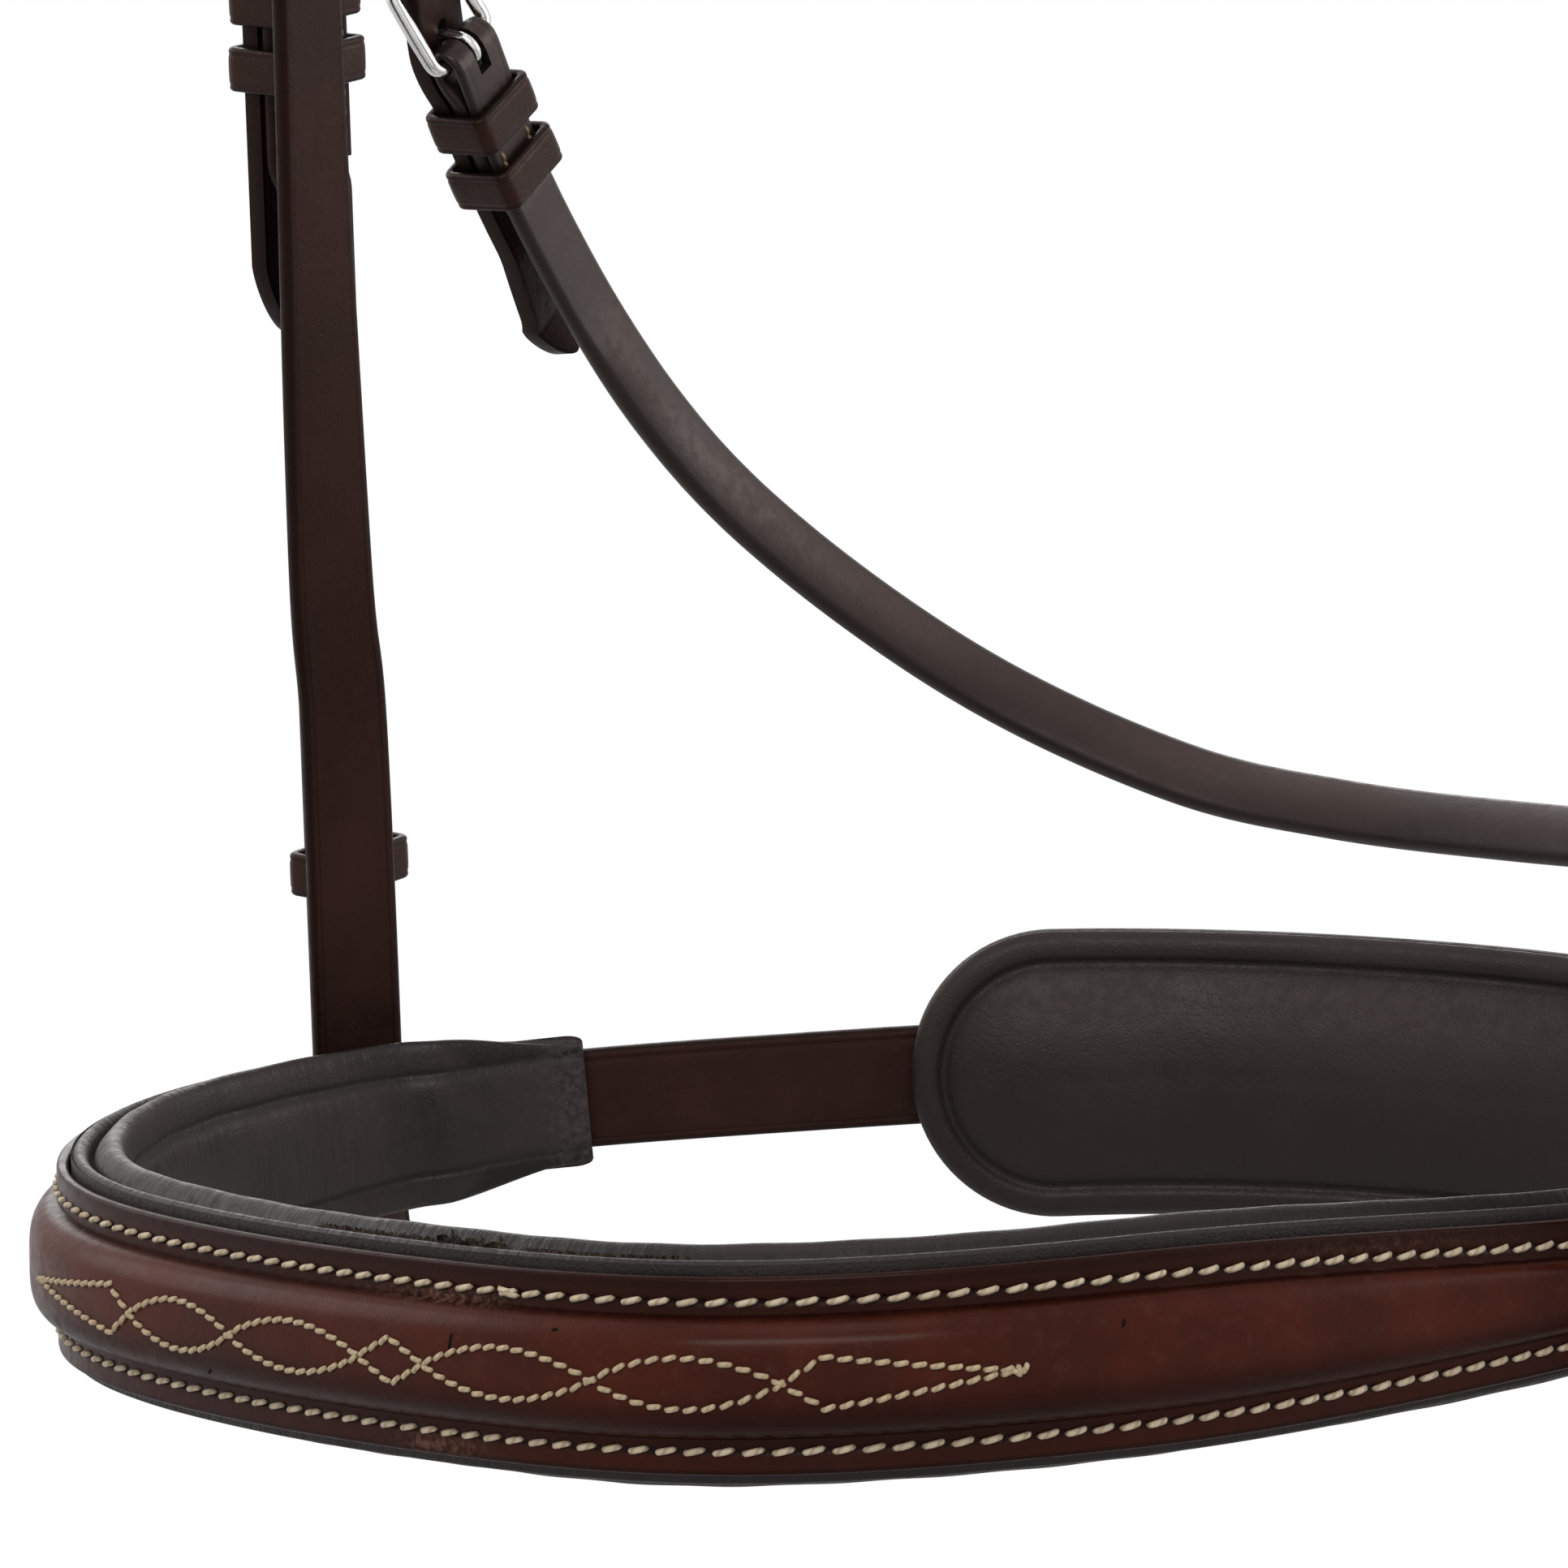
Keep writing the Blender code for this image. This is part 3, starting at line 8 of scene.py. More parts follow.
import bpy
import numpy as np
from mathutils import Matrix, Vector


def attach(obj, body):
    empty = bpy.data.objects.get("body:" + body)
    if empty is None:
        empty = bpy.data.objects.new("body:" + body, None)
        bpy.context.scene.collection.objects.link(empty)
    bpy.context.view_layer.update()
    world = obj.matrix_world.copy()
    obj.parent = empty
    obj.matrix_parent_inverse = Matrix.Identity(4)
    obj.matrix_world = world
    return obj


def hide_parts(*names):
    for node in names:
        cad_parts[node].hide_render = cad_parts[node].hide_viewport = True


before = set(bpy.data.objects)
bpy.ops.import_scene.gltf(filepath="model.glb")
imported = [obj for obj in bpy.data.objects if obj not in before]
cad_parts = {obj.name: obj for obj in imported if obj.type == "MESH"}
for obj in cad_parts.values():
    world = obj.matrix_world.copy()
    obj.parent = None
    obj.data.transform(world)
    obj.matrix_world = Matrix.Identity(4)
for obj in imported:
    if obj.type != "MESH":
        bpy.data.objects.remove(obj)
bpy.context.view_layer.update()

# Leather and clearances
clearance = 0.0003
strap_thick = 0.0030
hanger_thick = 0.0028
fold_thick = 0.0018
keeper_thick = 0.0016
point_share = 1.5
cheek_width = 0.0160
hanger_width = 0.0148
throat_width = 0.0115
rear_width = 0.0159

# Heights above the noseband plane
noseband_drop = 0.3550
spring_height = 0.2500
split_height = 0.2320
brow_height = 0.2430
cheek_bar_height = 0.1900
cheek_tip_height = 0.1240
bit_loop_height = -0.0420
hanger_bar_height = 0.1610

# Crown
arch_half = 0.1158
pad_depth = 0.0063
crown_half_width = 0.0195
slit_front = 0.0030
slit_rear = 0.0078
crown_pad_half_width = 0.0210
crown_pad_half_length = 0.0980
crown_pad_rim = 0.0015
crown_pad_bulge = 0.0008
crown_pad_taper = 0.0140
hanger_crown_y = -0.0095
crown_seam_reach = 0.0920

# Cheekpiece
cheek_top = (0.1222, -0.0089, 0.2070)
cheek_low = (0.1308, 0.0098, 0.0350)
cheek_bottom_rest = 0.0100
cheek_fold = 0.0380
bit_gap = 0.0090
turn_up_tip = 0.0570
low_keeper_height = 0.0390
loop_keeper_height = -0.0120
stud_height = 0.0150
stud_head = 0.0030
stud_head_thick = 0.0009
stud_shank = 0.0014
stud_button = 0.0027
stud_button_rise = 0.0016
bit_loop_taper = 0.0220

# Noseband ring
ring_scale = (0.1200, 0.1000, 0.0100)
ring_shares = (
    (-0.13, -1.17, -0.56), (0.33, -1.20, -0.27), (0.63, -0.80, -0.07), (0.80, -0.32, -0.05),
    (0.95, 0.15, -0.03), (0.98, 0.70, 0.26), (0.58, 1.05, 0.65), (0.16, 0.91, 0.93),
    (-0.25, 0.73, 0.84), (-0.57, 0.40, 0.55), (-0.95, 0.14, 0.09), (-1.12, -0.36, -0.48),
    (-0.96, -0.88, -0.93), (-0.53, -1.07, -0.81),
)
nose_end = 0.2250
nose_full_to = 0.1100
nose_half_height = 0.0138
nose_end_half_height = 0.0094
nose_end_round = 0.0090
nose_row_stop = 0.0100
nose_flange = 0.0052
nose_leather = 0.0019
nose_crown = 0.0050
nose_side_crown = 0.0024
nose_end_crown = 0.0008
nose_lift_from = 0.1960
nose_lift_to = 0.2020
lining_depth = 0.0106
lining_end_depth = 0.0062
lining_rise = 0.0033
lining_roll = 0.0020
lining_roll_depth = 0.0028
lining_taper = 0.0260
lining_corner = 0.0030
padded_shares = (
    (1.0, -0.5, 0.0, 0.0, 0.0), (1.0, 0.5, 0.0, 0.06, 0.0), (1.0, 1.0, 0.0, 0.40, 0.0),
    (1.0, 0.62, 0.0, 0.86, 0.0), (1.0, -0.35, 0.0, 1.15, 0.0), (1.0, 0.0, 0.34, 1.0, 0.12),
    (1.0, 0.0, 1.0, 1.0, 0.40), (1.0, 0.0, 0.72, 1.0, 0.66), (0.92, 0.0, 0.0, 1.0, 0.76),
    (0.80, 0.0, 0.0, 1.0, 0.72), (0.60, 0.0, 0.0, 1.0, 0.93),
)
torn_from = -0.0280
torn_to = 0.0470

# Rear strap and jaw pad
rear_start = 0.2060
pad_far_end = 0.2780
pad_half_length = 0.0810
pad_half_height = 0.0232
pad_waist = 0.0008
pad_backing = 0.0023
pad_cushion_depth = 0.0068
pad_channel_inset = 0.0052
pad_channel_depth = 0.0009
pad_loop_inset = 0.0260
pad_loop_length = 0.0100
pad_loop_foot = 0.0050
rear_bar = 0.2620
rear_tip = 0.0500
rear_tip_ride = 0.0016
rear_fold = 0.0160
rear_seam_past = 0.0210

# Hanger
hanger_far_s = 0.1910
hanger_near_s = 0.1950
hanger_foot_drop = 0.0120
hanger_foot_rise = 0.0120
hanger_twist_height = 0.1900
hanger_tip = 0.0560
hanger_fold = 0.0260
hanger_sway = 0.0200
hanger_foot_share = 0.8
foot_seam_from = 0.0042
foot_seam_to = 0.0200
foot_seam_end = 0.0030
hanger_far_shares = ((1.029, -0.230, 0.256), (1.024, -0.405, 0.357), (1.012, -0.670, 0.651),
                     (1.002, -0.880, 0.940))
hanger_near_shares = ((0.990, 0.510, 0.280), (0.991, 0.770, 0.480), (0.991, 0.850, 0.660),
                      (0.991, 0.820, 0.780), (0.995, 0.600, 0.888), (1.000, 0.240, 0.976))
arch_shift_from = 0.0400
arch_shift_to = 0.1150

# Throatlatch
throat_half_span = 0.1225
throat_start_y = 0.0340
throat_start_height = 0.1680
throat_sweep = 0.1128
throat_drop = 0.1272
throat_bar = 0.0340
throat_tip = 0.0610
throat_tip_ride = 0.0040
throat_tip_play = 0.0110
throat_fold = 0.0230
throat_shares = (
    (0.975, -0.150, -0.232), (1.0, 0.0, 0.0), (1.0, 0.170, 0.233), (0.970, 0.381, 0.472),
    (0.888, 0.570, 0.654), (0.710, 0.785, 0.839), (0.474, 0.933, 0.957), (0.250, 0.983, 0.992),
)

# Buckles and keepers
wire = 0.00125
tongue_wire = 0.0009
buckle_length = 0.0160
buckle_side_gap = 0.0005
front_rise = 0.0085
front_corner = 0.0034
heel_corner = 0.0022
tongue_over = 0.0026
tongue_shares = ((0.20, 0.85), (0.275, 1.09), (0.44, 1.19), (0.75, 1.15))
fold_slot_back = 0.0036
billet_slot_from = -0.0010
billet_slot_to = 0.0054
hole_size = 0.0034
hole_pitch = 0.0130
fixed_keeper_at = 0.0120
runner_at = 0.0225
keeper_length = 0.0070
keeper_corner = 0.0012

# Browband
brow_thick = 0.0020
brow_loop_half = 0.0065
brow_half_height = 0.0100
brow_rear = 0.0220
brow_front = -0.1500
brow_side_x = 0.1095
brow_close_y = -0.0420
brow_open_y = -0.0290
brow_sewn_y = -0.0390
brow_sag = 0.0140
brow_crown = 0.0034
brow_flange = 0.0034
brow_lining_depth = 0.0070
brow_lining_rise = 0.0022
brow_lining_rim = 0.0008
brow_lining_rim_depth = 0.0018
brow_lining_inset = 0.0140
brow_points = 700
brow_fancy_share = 0.72
brow_row_from = 0.20

# Thread: main rows, fancy rows and plain strap seams
main_pitch = 0.0041
fancy_pitch = 0.00236
fancy_height = 0.0036
fancy_tip = 0.0905
brow_pitch = 0.0036
seam_pitch = 0.0032
crown_seam_pitch = 0.0036
main_inset = 0.0033
brow_inset = 0.0019
seam_inset = 0.0021
end_seam_inset = 0.0026
crown_seam_inset = 0.0028
seam_sink = 0.00005
seam_rise = 0.00012
thread = 0.00049
fancy_thread = 0.00042
fine_thread = 0.00037

# Step over which the direction of a face or a line is read
probe = 0.0002


# Routes

def ramp(s, a, b):
    """Smooth share of the way from a to b: three squared less two cubed, held at both ends."""
    x = np.clip((np.asarray(s, float) - a) / (b - a), 0.0, 1.0)
    return x * x * (3 - 2 * x)


def unit(a):
    """Each vector divided by its own length."""
    a = np.asarray(a, float)
    return a / np.linalg.norm(a, axis=-1, keepdims=True)


def open_curve(rows, samples=160):
    """Catmull-Rom curve through the rows: each span is the cubic set by its four nearest rows."""
    rows = np.asarray(rows, float)
    ext = np.vstack([2 * rows[0] - rows[1], rows, 2 * rows[-1] - rows[-2]])
    u = np.linspace(0.0, len(rows) - 1, max(samples, len(rows)))
    i = np.minimum(u.astype(int), len(rows) - 2)
    t = (u - i)[:, None]
    a, b, c, d = ext[i], ext[i + 1], ext[i + 2], ext[i + 3]
    return 0.5 * (2 * b + (c - a) * t + (2 * a - 5 * b + 4 * c - d) * t ** 2
                  + (3 * b - a - 3 * c + d) * t ** 3)


def closed_curve(shares, scale, samples):
    """Closed cubic B-spline: each point is the four nearest pulls weighted by the cubic basis."""
    ctrl = np.asarray(shares, float) * np.asarray(scale, float)
    u = np.linspace(0.0, len(ctrl), samples, endpoint=False)
    i = np.floor(u).astype(int)
    t = (u - i)[:, None]
    weights = ((1 - t) ** 3, 3 * t ** 3 - 6 * t ** 2 + 4, -3 * t ** 3 + 3 * t ** 2 + 3 * t + 1, t ** 3)
    return sum(w * ctrl[(i - 1 + k) % len(ctrl)] for k, w in enumerate(weights)) / 6.0


def lengths_along(points):
    """Summed distance between neighbouring points, from zero."""
    return np.concatenate([[0.0], np.cumsum(np.linalg.norm(np.diff(points, axis=0), axis=1))])


def make_path(points, across, closed=False):
    """Route with its run, outward and across directions, measured by the summed distance between points."""
    points = np.asarray(points, float)
    across = np.broadcast_to(np.asarray(across, float), points.shape)
    if closed:
        run = np.roll(points, -1, 0) - np.roll(points, 1, 0)
        points, run, across = (np.vstack([a, a[:1]]) for a in (points, run, across))
    else:
        run = np.gradient(points, axis=0)
    run = unit(run)
    out = unit(np.cross(run, across))
    s = lengths_along(points)
    return {"s": s, "p": points, "t": run, "n": out, "w": np.cross(out, run), "closed": closed,
            "length": s[-1]}


def from_middle(path):
    """The same route with zero at its middle."""
    path["s"] = path["s"] - path["length"] / 2
    return path


def frame_at(path, s):
    """Place, run, across and outward directions read linearly between a route's points."""
    s = np.asarray(s, float)
    base = path["s"]
    inside = np.mod(s - base[0], path["length"]) + base[0] if path["closed"] else s
    held = np.clip(inside, base[0], base[-1])
    p, t, w, n = (np.stack([np.interp(held, base, path[key][:, k]) for k in range(3)], -1)
                  for key in ("p", "t", "w", "n"))
    t, w, n = unit(t), unit(w), unit(n)
    return p + t * (inside - held)[..., None], t, w, n


def lay(path, s, v, w):
    """Layout coordinates to space: place plus v outward plus w across."""
    p, _t, wd, n = frame_at(path, s)
    return p + n * np.asarray(v, float)[..., None] + wd * np.asarray(w, float)[..., None]


def to_side(points, side):
    """Points with x multiplied by the side, 1 near and -1 far."""
    return np.asarray(points, float) * np.array([side, 1.0, 1.0])


def arch_points():
    """Half ellipse over the poll, from the far side to the near one."""
    height = pad_depth + noseband_drop - spring_height
    turn = np.linspace(math.pi, 0.0, 160)
    x = arch_half * np.cos(turn)
    return np.stack([x, np.zeros_like(x), spring_height - noseband_drop + height * np.sin(turn)], 1)


def arch_path():
    """Route of the arch, with zero at the poll."""
    return from_middle(make_path(arch_points(), (0, 1, 0)))


def ring_path():
    """Route of the noseband, with zero at the middle of the fancy stitching."""
    points = closed_curve(ring_shares, ring_scale, 1440)
    points[:, 2] -= noseband_drop
    return make_path(points, (0, 0, 1), closed=True)


def cheek_path():
    """Straight route of the near cheekpiece, from its buckle end down."""
    top = np.array(cheek_top) - (0, 0, noseband_drop)
    low = np.array(cheek_low) - (0, 0, noseband_drop)
    end = top + unit(low - top) * (cheek_top[2] - bit_loop_height + cheek_bottom_rest)
    return make_path(top + (end - top) * np.linspace(0.0, 1.0, 40)[:, None], (0, 1, 0))


def cheek_s(path, height):
    """Length along the cheekpiece at a height."""
    return float(np.interp(-height, -(path["p"][:, 2] + noseband_drop), path["s"]))


def throat_path():
    """Route of the throatlatch, zero under the throat, its face turned out of the loop."""
    near = np.asarray(throat_shares, float)
    shares = np.vstack([near * (-1.0, 1.0, 1.0), [[0.0, 1.0, 1.0]], near[::-1]])
    points = np.stack([shares[:, 0] * throat_half_span, throat_start_y + shares[:, 1] * throat_sweep,
                       throat_start_height - noseband_drop - shares[:, 2] * throat_drop], 1)
    dense = open_curve(points, 640)
    run = unit(np.gradient(dense, axis=0))
    inward = unit(np.array([0.0, throat_start_y, throat_start_height - noseband_drop]) - dense)
    return from_middle(make_path(dense, unit(np.cross(run, inward))))


def hanger_path(ring):
    """Route of the noseband hanger: up the far side, over the poll and down the near side."""
    clear = nose_leather + nose_side_crown + 3 * clearance
    up = np.array([0, 0, 1.0])

    def foot_rows(s, turn):
        p, t, _w, n = frame_at(ring, np.array([s]))
        foot, across = p[0] + n[0] * clear, t[0] * turn
        return [np.r_[foot + up * rise, across] for rise in (-hanger_foot_drop, 0.0, hanger_foot_rise)]

    scale = (arch_half, hanger_sway, spring_height)
    far = np.asarray(hanger_far_shares) * scale
    near = np.asarray(hanger_near_shares) * scale
    rows = foot_rows(-hanger_far_s, -1.0)
    turned = 1.0 - ramp(far[:, 2:], hanger_foot_rise, hanger_twist_height)
    across = unit(np.array([0.0, 1.0, 0.0]) * (1.0 - turned) + rows[1][3:] * turned)
    rows += [np.r_[-x, y, h - noseband_drop, way] for (x, y, h), way in zip(far, across)]
    arch = arch_points()[::8]
    share = ramp(arch[:, 2].max() - arch[:, 2], arch_shift_from, arch_shift_to)
    target = np.where(arch[:, 0] < 0, far[-1, 1], near[-1, 1])
    arch[:, 1] = hanger_crown_y + (target - hanger_crown_y) * share
    rows += [np.r_[q, 0, 1, 0] for q in arch]
    rows += [np.r_[x, y, h - noseband_drop, 0, 1, 0] for x, y, h in near[::-1]]
    rows += foot_rows(hanger_near_s, 1.0)[::-1]
    dense = open_curve(rows, 1600)
    path = make_path(dense[:, :3], unit(dense[:, 3:]))
    path["s"] = path["s"] - path["s"][int(np.argmax(path["p"][:, 2]))]
    return path


def hanger_s(path, height):
    """Length along the near run of the hanger at a height."""
    z = path["p"][:, 2] + noseband_drop
    pick = path["s"] >= 0
    order = np.argsort(z[pick])
    return float(np.interp(height, z[pick][order], path["s"][pick][order]))


# Meshes

def face_out(verts, quads, tris):
    """Faces of a closed surface turned outward: flipped where the summed triple product is negative."""
    flat = np.vstack([tris, quads[:, [0, 1, 2]], quads[:, [0, 2, 3]]])
    a, b, c = ((verts - verts.mean(0))[flat[:, k]] for k in range(3))
    inward = np.einsum("ij,ij->i", a, np.cross(b, c)).sum() < 0
    return (quads[:, ::-1], tris[:, ::-1]) if inward else (quads, tris)


def link(obj):
    """Object put in the scene."""
    bpy.context.scene.collection.objects.link(obj)
    return obj


def make_piece(name, body, verts, quads, tris, look, stands_for=(), marks=None, sharp=38.0):
    """Closed surface from quads and triangles, turned outward, marked and put on its body."""
    verts = np.asarray(verts, float)
    quads, tris = face_out(verts, np.asarray(quads, int).reshape(-1, 4), np.asarray(tris, int).reshape(-1, 3))
    mesh = bpy.data.meshes.new(name)
    mesh.from_pydata(verts.tolist(), [], quads.tolist() + tris.tolist())
    mesh.polygons.foreach_set("use_smooth", np.ones(len(mesh.polygons), bool))
    for key, values in (marks or {}).items():
        values = np.asarray(values, np.float32)
        if values.ndim == 1:
            mesh.attributes.new(key, "FLOAT", "POINT").data.foreach_set("value", values)
        else:
            mesh.attributes.new(key, "FLOAT_VECTOR", "POINT").data.foreach_set("vector", values.ravel())
    if sharp:
        mesh.set_sharp_from_angle(angle=math.radians(sharp))
    mesh.materials.append(look)
    mesh.update()
    obj = link(bpy.data.objects.new(name, mesh))
    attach(obj, body)
    if stands_for:
        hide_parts(*stands_for)
    return obj


def tube_faces(rows, cols, closed):
    """Quads between neighbouring rings, and a fan from each end ring to its middle point."""
    i = np.arange(rows if closed else rows - 1)[:, None]
    j = np.arange(cols)[None]
    here, there = i * cols, ((i + 1) % rows) * cols
    quads = np.stack([here + j, here + (j + 1) % cols, there + (j + 1) % cols, there + j], -1).reshape(-1, 4)
    if closed:
        return quads, np.zeros((0, 3), int)
    j = np.arange(cols)
    k = (j + 1) % cols
    total = rows * cols
    tris = np.vstack([np.stack([k, j, np.full(cols, total)], 1),
                      np.stack([total - cols + j, total - cols + k, np.full(cols, total + 1)], 1)])
    return quads, tris


def with_ends(grid, closed):
    """Grid values as one list, with the mean of the first and of the last ring added when open."""
    flat = grid.reshape((-1,) + grid.shape[2:])
    if closed:
        return flat
    return np.concatenate([flat, grid[:1].mean(1), grid[-1:].mean(1)])


def laid(along, across, rise, edge=0.01, **more):
    """Marks that the leathers read: place along, across and out of the strap, and distance from its edge."""
    along, across, rise, edge = np.broadcast_arrays(along, across, rise, edge)
    return {"lay": np.stack([along, across, rise], -1), "edge": edge, **more}


def hump(x, middle, width):
    """Bell curve: the exponential of minus the squared distance from the middle in widths."""
    return np.exp(-((x - middle) / width) ** 2)


def end_stations(end, reach, core_count, tail_count, power):
    """Stations from end to end: even along the core, closing up by a power over the reach at both ends."""
    tail = end - reach * np.linspace(1.0, 0.0, tail_count)[1:] ** power
    return np.concatenate([-tail[::-1], np.linspace(reach - end, end - reach, core_count), tail])


def ring_piece(name, body, rings, look, marks, stands_for=(), closed=False, side=1, sharp=38.0):
    """Closed body skinned over rings, with its marks carried along."""
    quads, tris = tube_faces(rings.shape[0], rings.shape[1], closed)
    marks = {key: with_ends(value, closed) for key, value in marks.items()}
    return make_piece(name, body, to_side(with_ends(rings, closed), side), quads, tris, look,
                      stands_for, marks, sharp)


def strap_shape(full, thick, crown=0.00012, crease=0.00014, crease_at=0.0016, under=0.5):
    """Section of a strap: two slightly domed faces with a pressed line near each edge, and rounded edges."""
    r = min(0.42 * thick, full / 3)
    arc = np.radians(np.linspace(0.0, 90.0, 5))
    x = full - r + r * np.cos(arc)
    y = thick / 2 - r + r * np.sin(arc)
    d = np.array([crease_at - 0.00045, crease_at - 0.00018, crease_at + 0.00012, crease_at + 0.0005])
    d = d[d > r * 1.02]
    x = np.r_[x, full - d, full * np.array([0.55, 0.28, 0.0])]
    y = np.r_[y, np.full(len(d) + 3, thick / 2)]
    dome = crown * (1 - (x / full) ** 2)
    press = crease * hump(full - x, crease_at, 0.0003) * (x < full - r * 0.9)
    top = np.stack([x, y + dome - press], 1)
    low = np.stack([x, -(y + dome * under)], 1)
    right = np.vstack([low[::-1], top])
    right = np.delete(right, 0, 0)
    left = right[:-1][::-1] * (-1.0, 1.0)
    bottom = low[-1:]
    return np.vstack([right, left, bottom])


def fair(rows, pitch):
    """Rows read at even steps along their line, then averaged with their neighbours, one two one, twice."""
    rows = np.asarray(rows, float)
    d = lengths_along(rows[:, :2])
    q = np.linspace(0.0, d[-1], max(4, int(d[-1] / pitch)) + 1)
    out = np.stack([np.interp(q, d, rows[:, k]) for k in range(4)], 1)
    for _ in range(2):
        out[1:-1] = 0.25 * out[:-2] + 0.5 * out[1:-1] + 0.25 * out[2:]
    return out


def point_rows(rows, length, power=1.9):
    """Rows that round a strap to a point: half width times (1 - (1 - x)^power)^0.6, x from the tip."""
    x = np.linspace(1.0, 0.0, 18)[1:] ** 1.7
    s, v, thick, half = rows[-1]
    way = math.copysign(1.0, s - rows[-3, 0])
    share = np.maximum((1 - (1 - x) ** power) ** 0.6, 0.03)
    return np.stack([s + way * length * (1 - x), np.full(len(x), v), thick * (0.35 + 0.65 * share ** 0.4),
                     half * share], 1)


def strap(name, path, rows, look, side=1, pitch=0.0011, tip=None, start_tip=None, stands_for=(), rolled=None):
    """Strap body: the section carried along faired rows (s, v, thickness, half width), with a point at a tip,
    and domed like a rolled strap as far as the first of the two rolled lengths, fading out to the second;
    where rolled, the half toward the front is painted darker as shade along the whole strap, easing to half
    toward the ends."""
    rows = fair(rows, pitch)
    if tip:
        rows = np.vstack([rows, point_rows(rows, tip)])
    if start_tip:
        rows = np.vstack([point_rows(rows[::-1], start_tip)[::-1], rows])
    s, v, thick, half = rows.T
    shape = strap_shape(half.max(), thick.max())
    along = lengths_along(rows[:, :2])
    ds, dv = np.gradient(s, along), np.gradient(v, along)
    size = np.hypot(ds, dv)
    p, t, w, n = frame_at(path, s)
    normal = t * (-dv / size)[:, None] + n * (ds / size)[:, None]
    across = shape[None, :, 0] * (half / half.max())[:, None]
    out = shape[None, :, 1] * (thick / thick.max())[:, None]
    more = {}
    if rolled:
        full, none = rolled
        domed = strap_shape(half.max(), thick.max(), 0.0010, 0.00004, under=1.0)[None, :, 1]
        share = 1.0 - ramp(np.abs(s), full, none)[:, None]
        out = out * (1 - share) + domed * share
        # Painted shade: the half toward the front is darkened as the side turned from the light, easing to
        # half toward the ends.
        toward_front = -across * np.sign(w[:, 1:2])
        fade = 1.0 - ramp(np.abs(s), full, s.max())[:, None] * 0.5
        more["tone"] = 0.80 * ramp(toward_front, -0.0012, 0.0056) * fade
    centre = p + n * v[:, None]
    rings = centre[:, None] + normal[:, None] * out[..., None] + w[:, None] * across[..., None]
    marks = laid(along[:, None], across, out, half[:, None] - np.abs(across), **more)
    return ring_piece(name, "bridle", rings, look, marks, stands_for, side=side)


# Materials

def new_material(name):
    """New node material with its tree and shader."""
    mat = bpy.data.materials.new(name)
    mat.use_nodes = True
    tree = mat.node_tree
    return mat, tree, tree.nodes["Principled BSDF"]


def feed(tree, node, inputs):
    """Inputs of a node linked to sockets or given values."""
    for key, value in dict(inputs).items():
        if isinstance(value, bpy.types.NodeSocket):
            tree.links.new(value, node.inputs[key])
        else:
            node.inputs[key].default_value = value
    return node


def wire_up(tree, kind, inputs=(), **values):
    """New node of a kind with its properties set and its inputs fed."""
    node = tree.nodes.new(kind)
    for key, value in values.items():
        setattr(node, key, value)
    return feed(tree, node, inputs)


def object_place(tree):
    """Coordinates of the piece itself."""
    return wire_up(tree, "ShaderNodeTexCoord").outputs["Object"]


def spread(tree, value, from_low, from_high, to_low=0.0, to_high=1.0):
    """Value carried from one range to another, smoothly and held at the ends."""
    ends = {"From Min": from_low, "From Max": from_high, "To Min": to_low, "To Max": to_high}
    return wire_up(tree, "ShaderNodeMapRange", {"Value": value, **ends},
                   interpolation_type="SMOOTHSTEP").outputs["Result"]


def maths(tree, operation, a, b=0.0):
    """One sum, product or other step between two values."""
    return wire_up(tree, "ShaderNodeMath", {0: a, 1: b}, operation=operation).outputs[0]


def blend_colour(tree, share, a, b):
    """Two colours mixed by a share."""
    a, b = (c if isinstance(c, bpy.types.NodeSocket) else (*c, 1.0) for c in (a, b))
    return wire_up(tree, "ShaderNodeMix", {"Factor": share, 6: a, 7: b}, data_type="RGBA").outputs[2]


def noise(tree, place, scale, detail=3.0, rough=0.55, stretch=(1.0, 1.0, 1.0)):
    """Noise value on stretched coordinates."""
    spot = wire_up(tree, "ShaderNodeMapping", {"Vector": place, "Scale": stretch}).outputs[0]
    return wire_up(tree, "ShaderNodeTexNoise", {"Vector": spot, "Scale": scale, "Detail": detail,
                                                "Roughness": rough}).outputs[0]


def bump(tree, height, strength, distance, below=None):
    """Surface bump of a height, laid over another bump where given."""
    under = {"Normal": below} if below else {}
    return wire_up(tree, "ShaderNodeBump", {"Height": height, "Strength": strength, "Distance": distance,
                                            **under}).outputs[0]


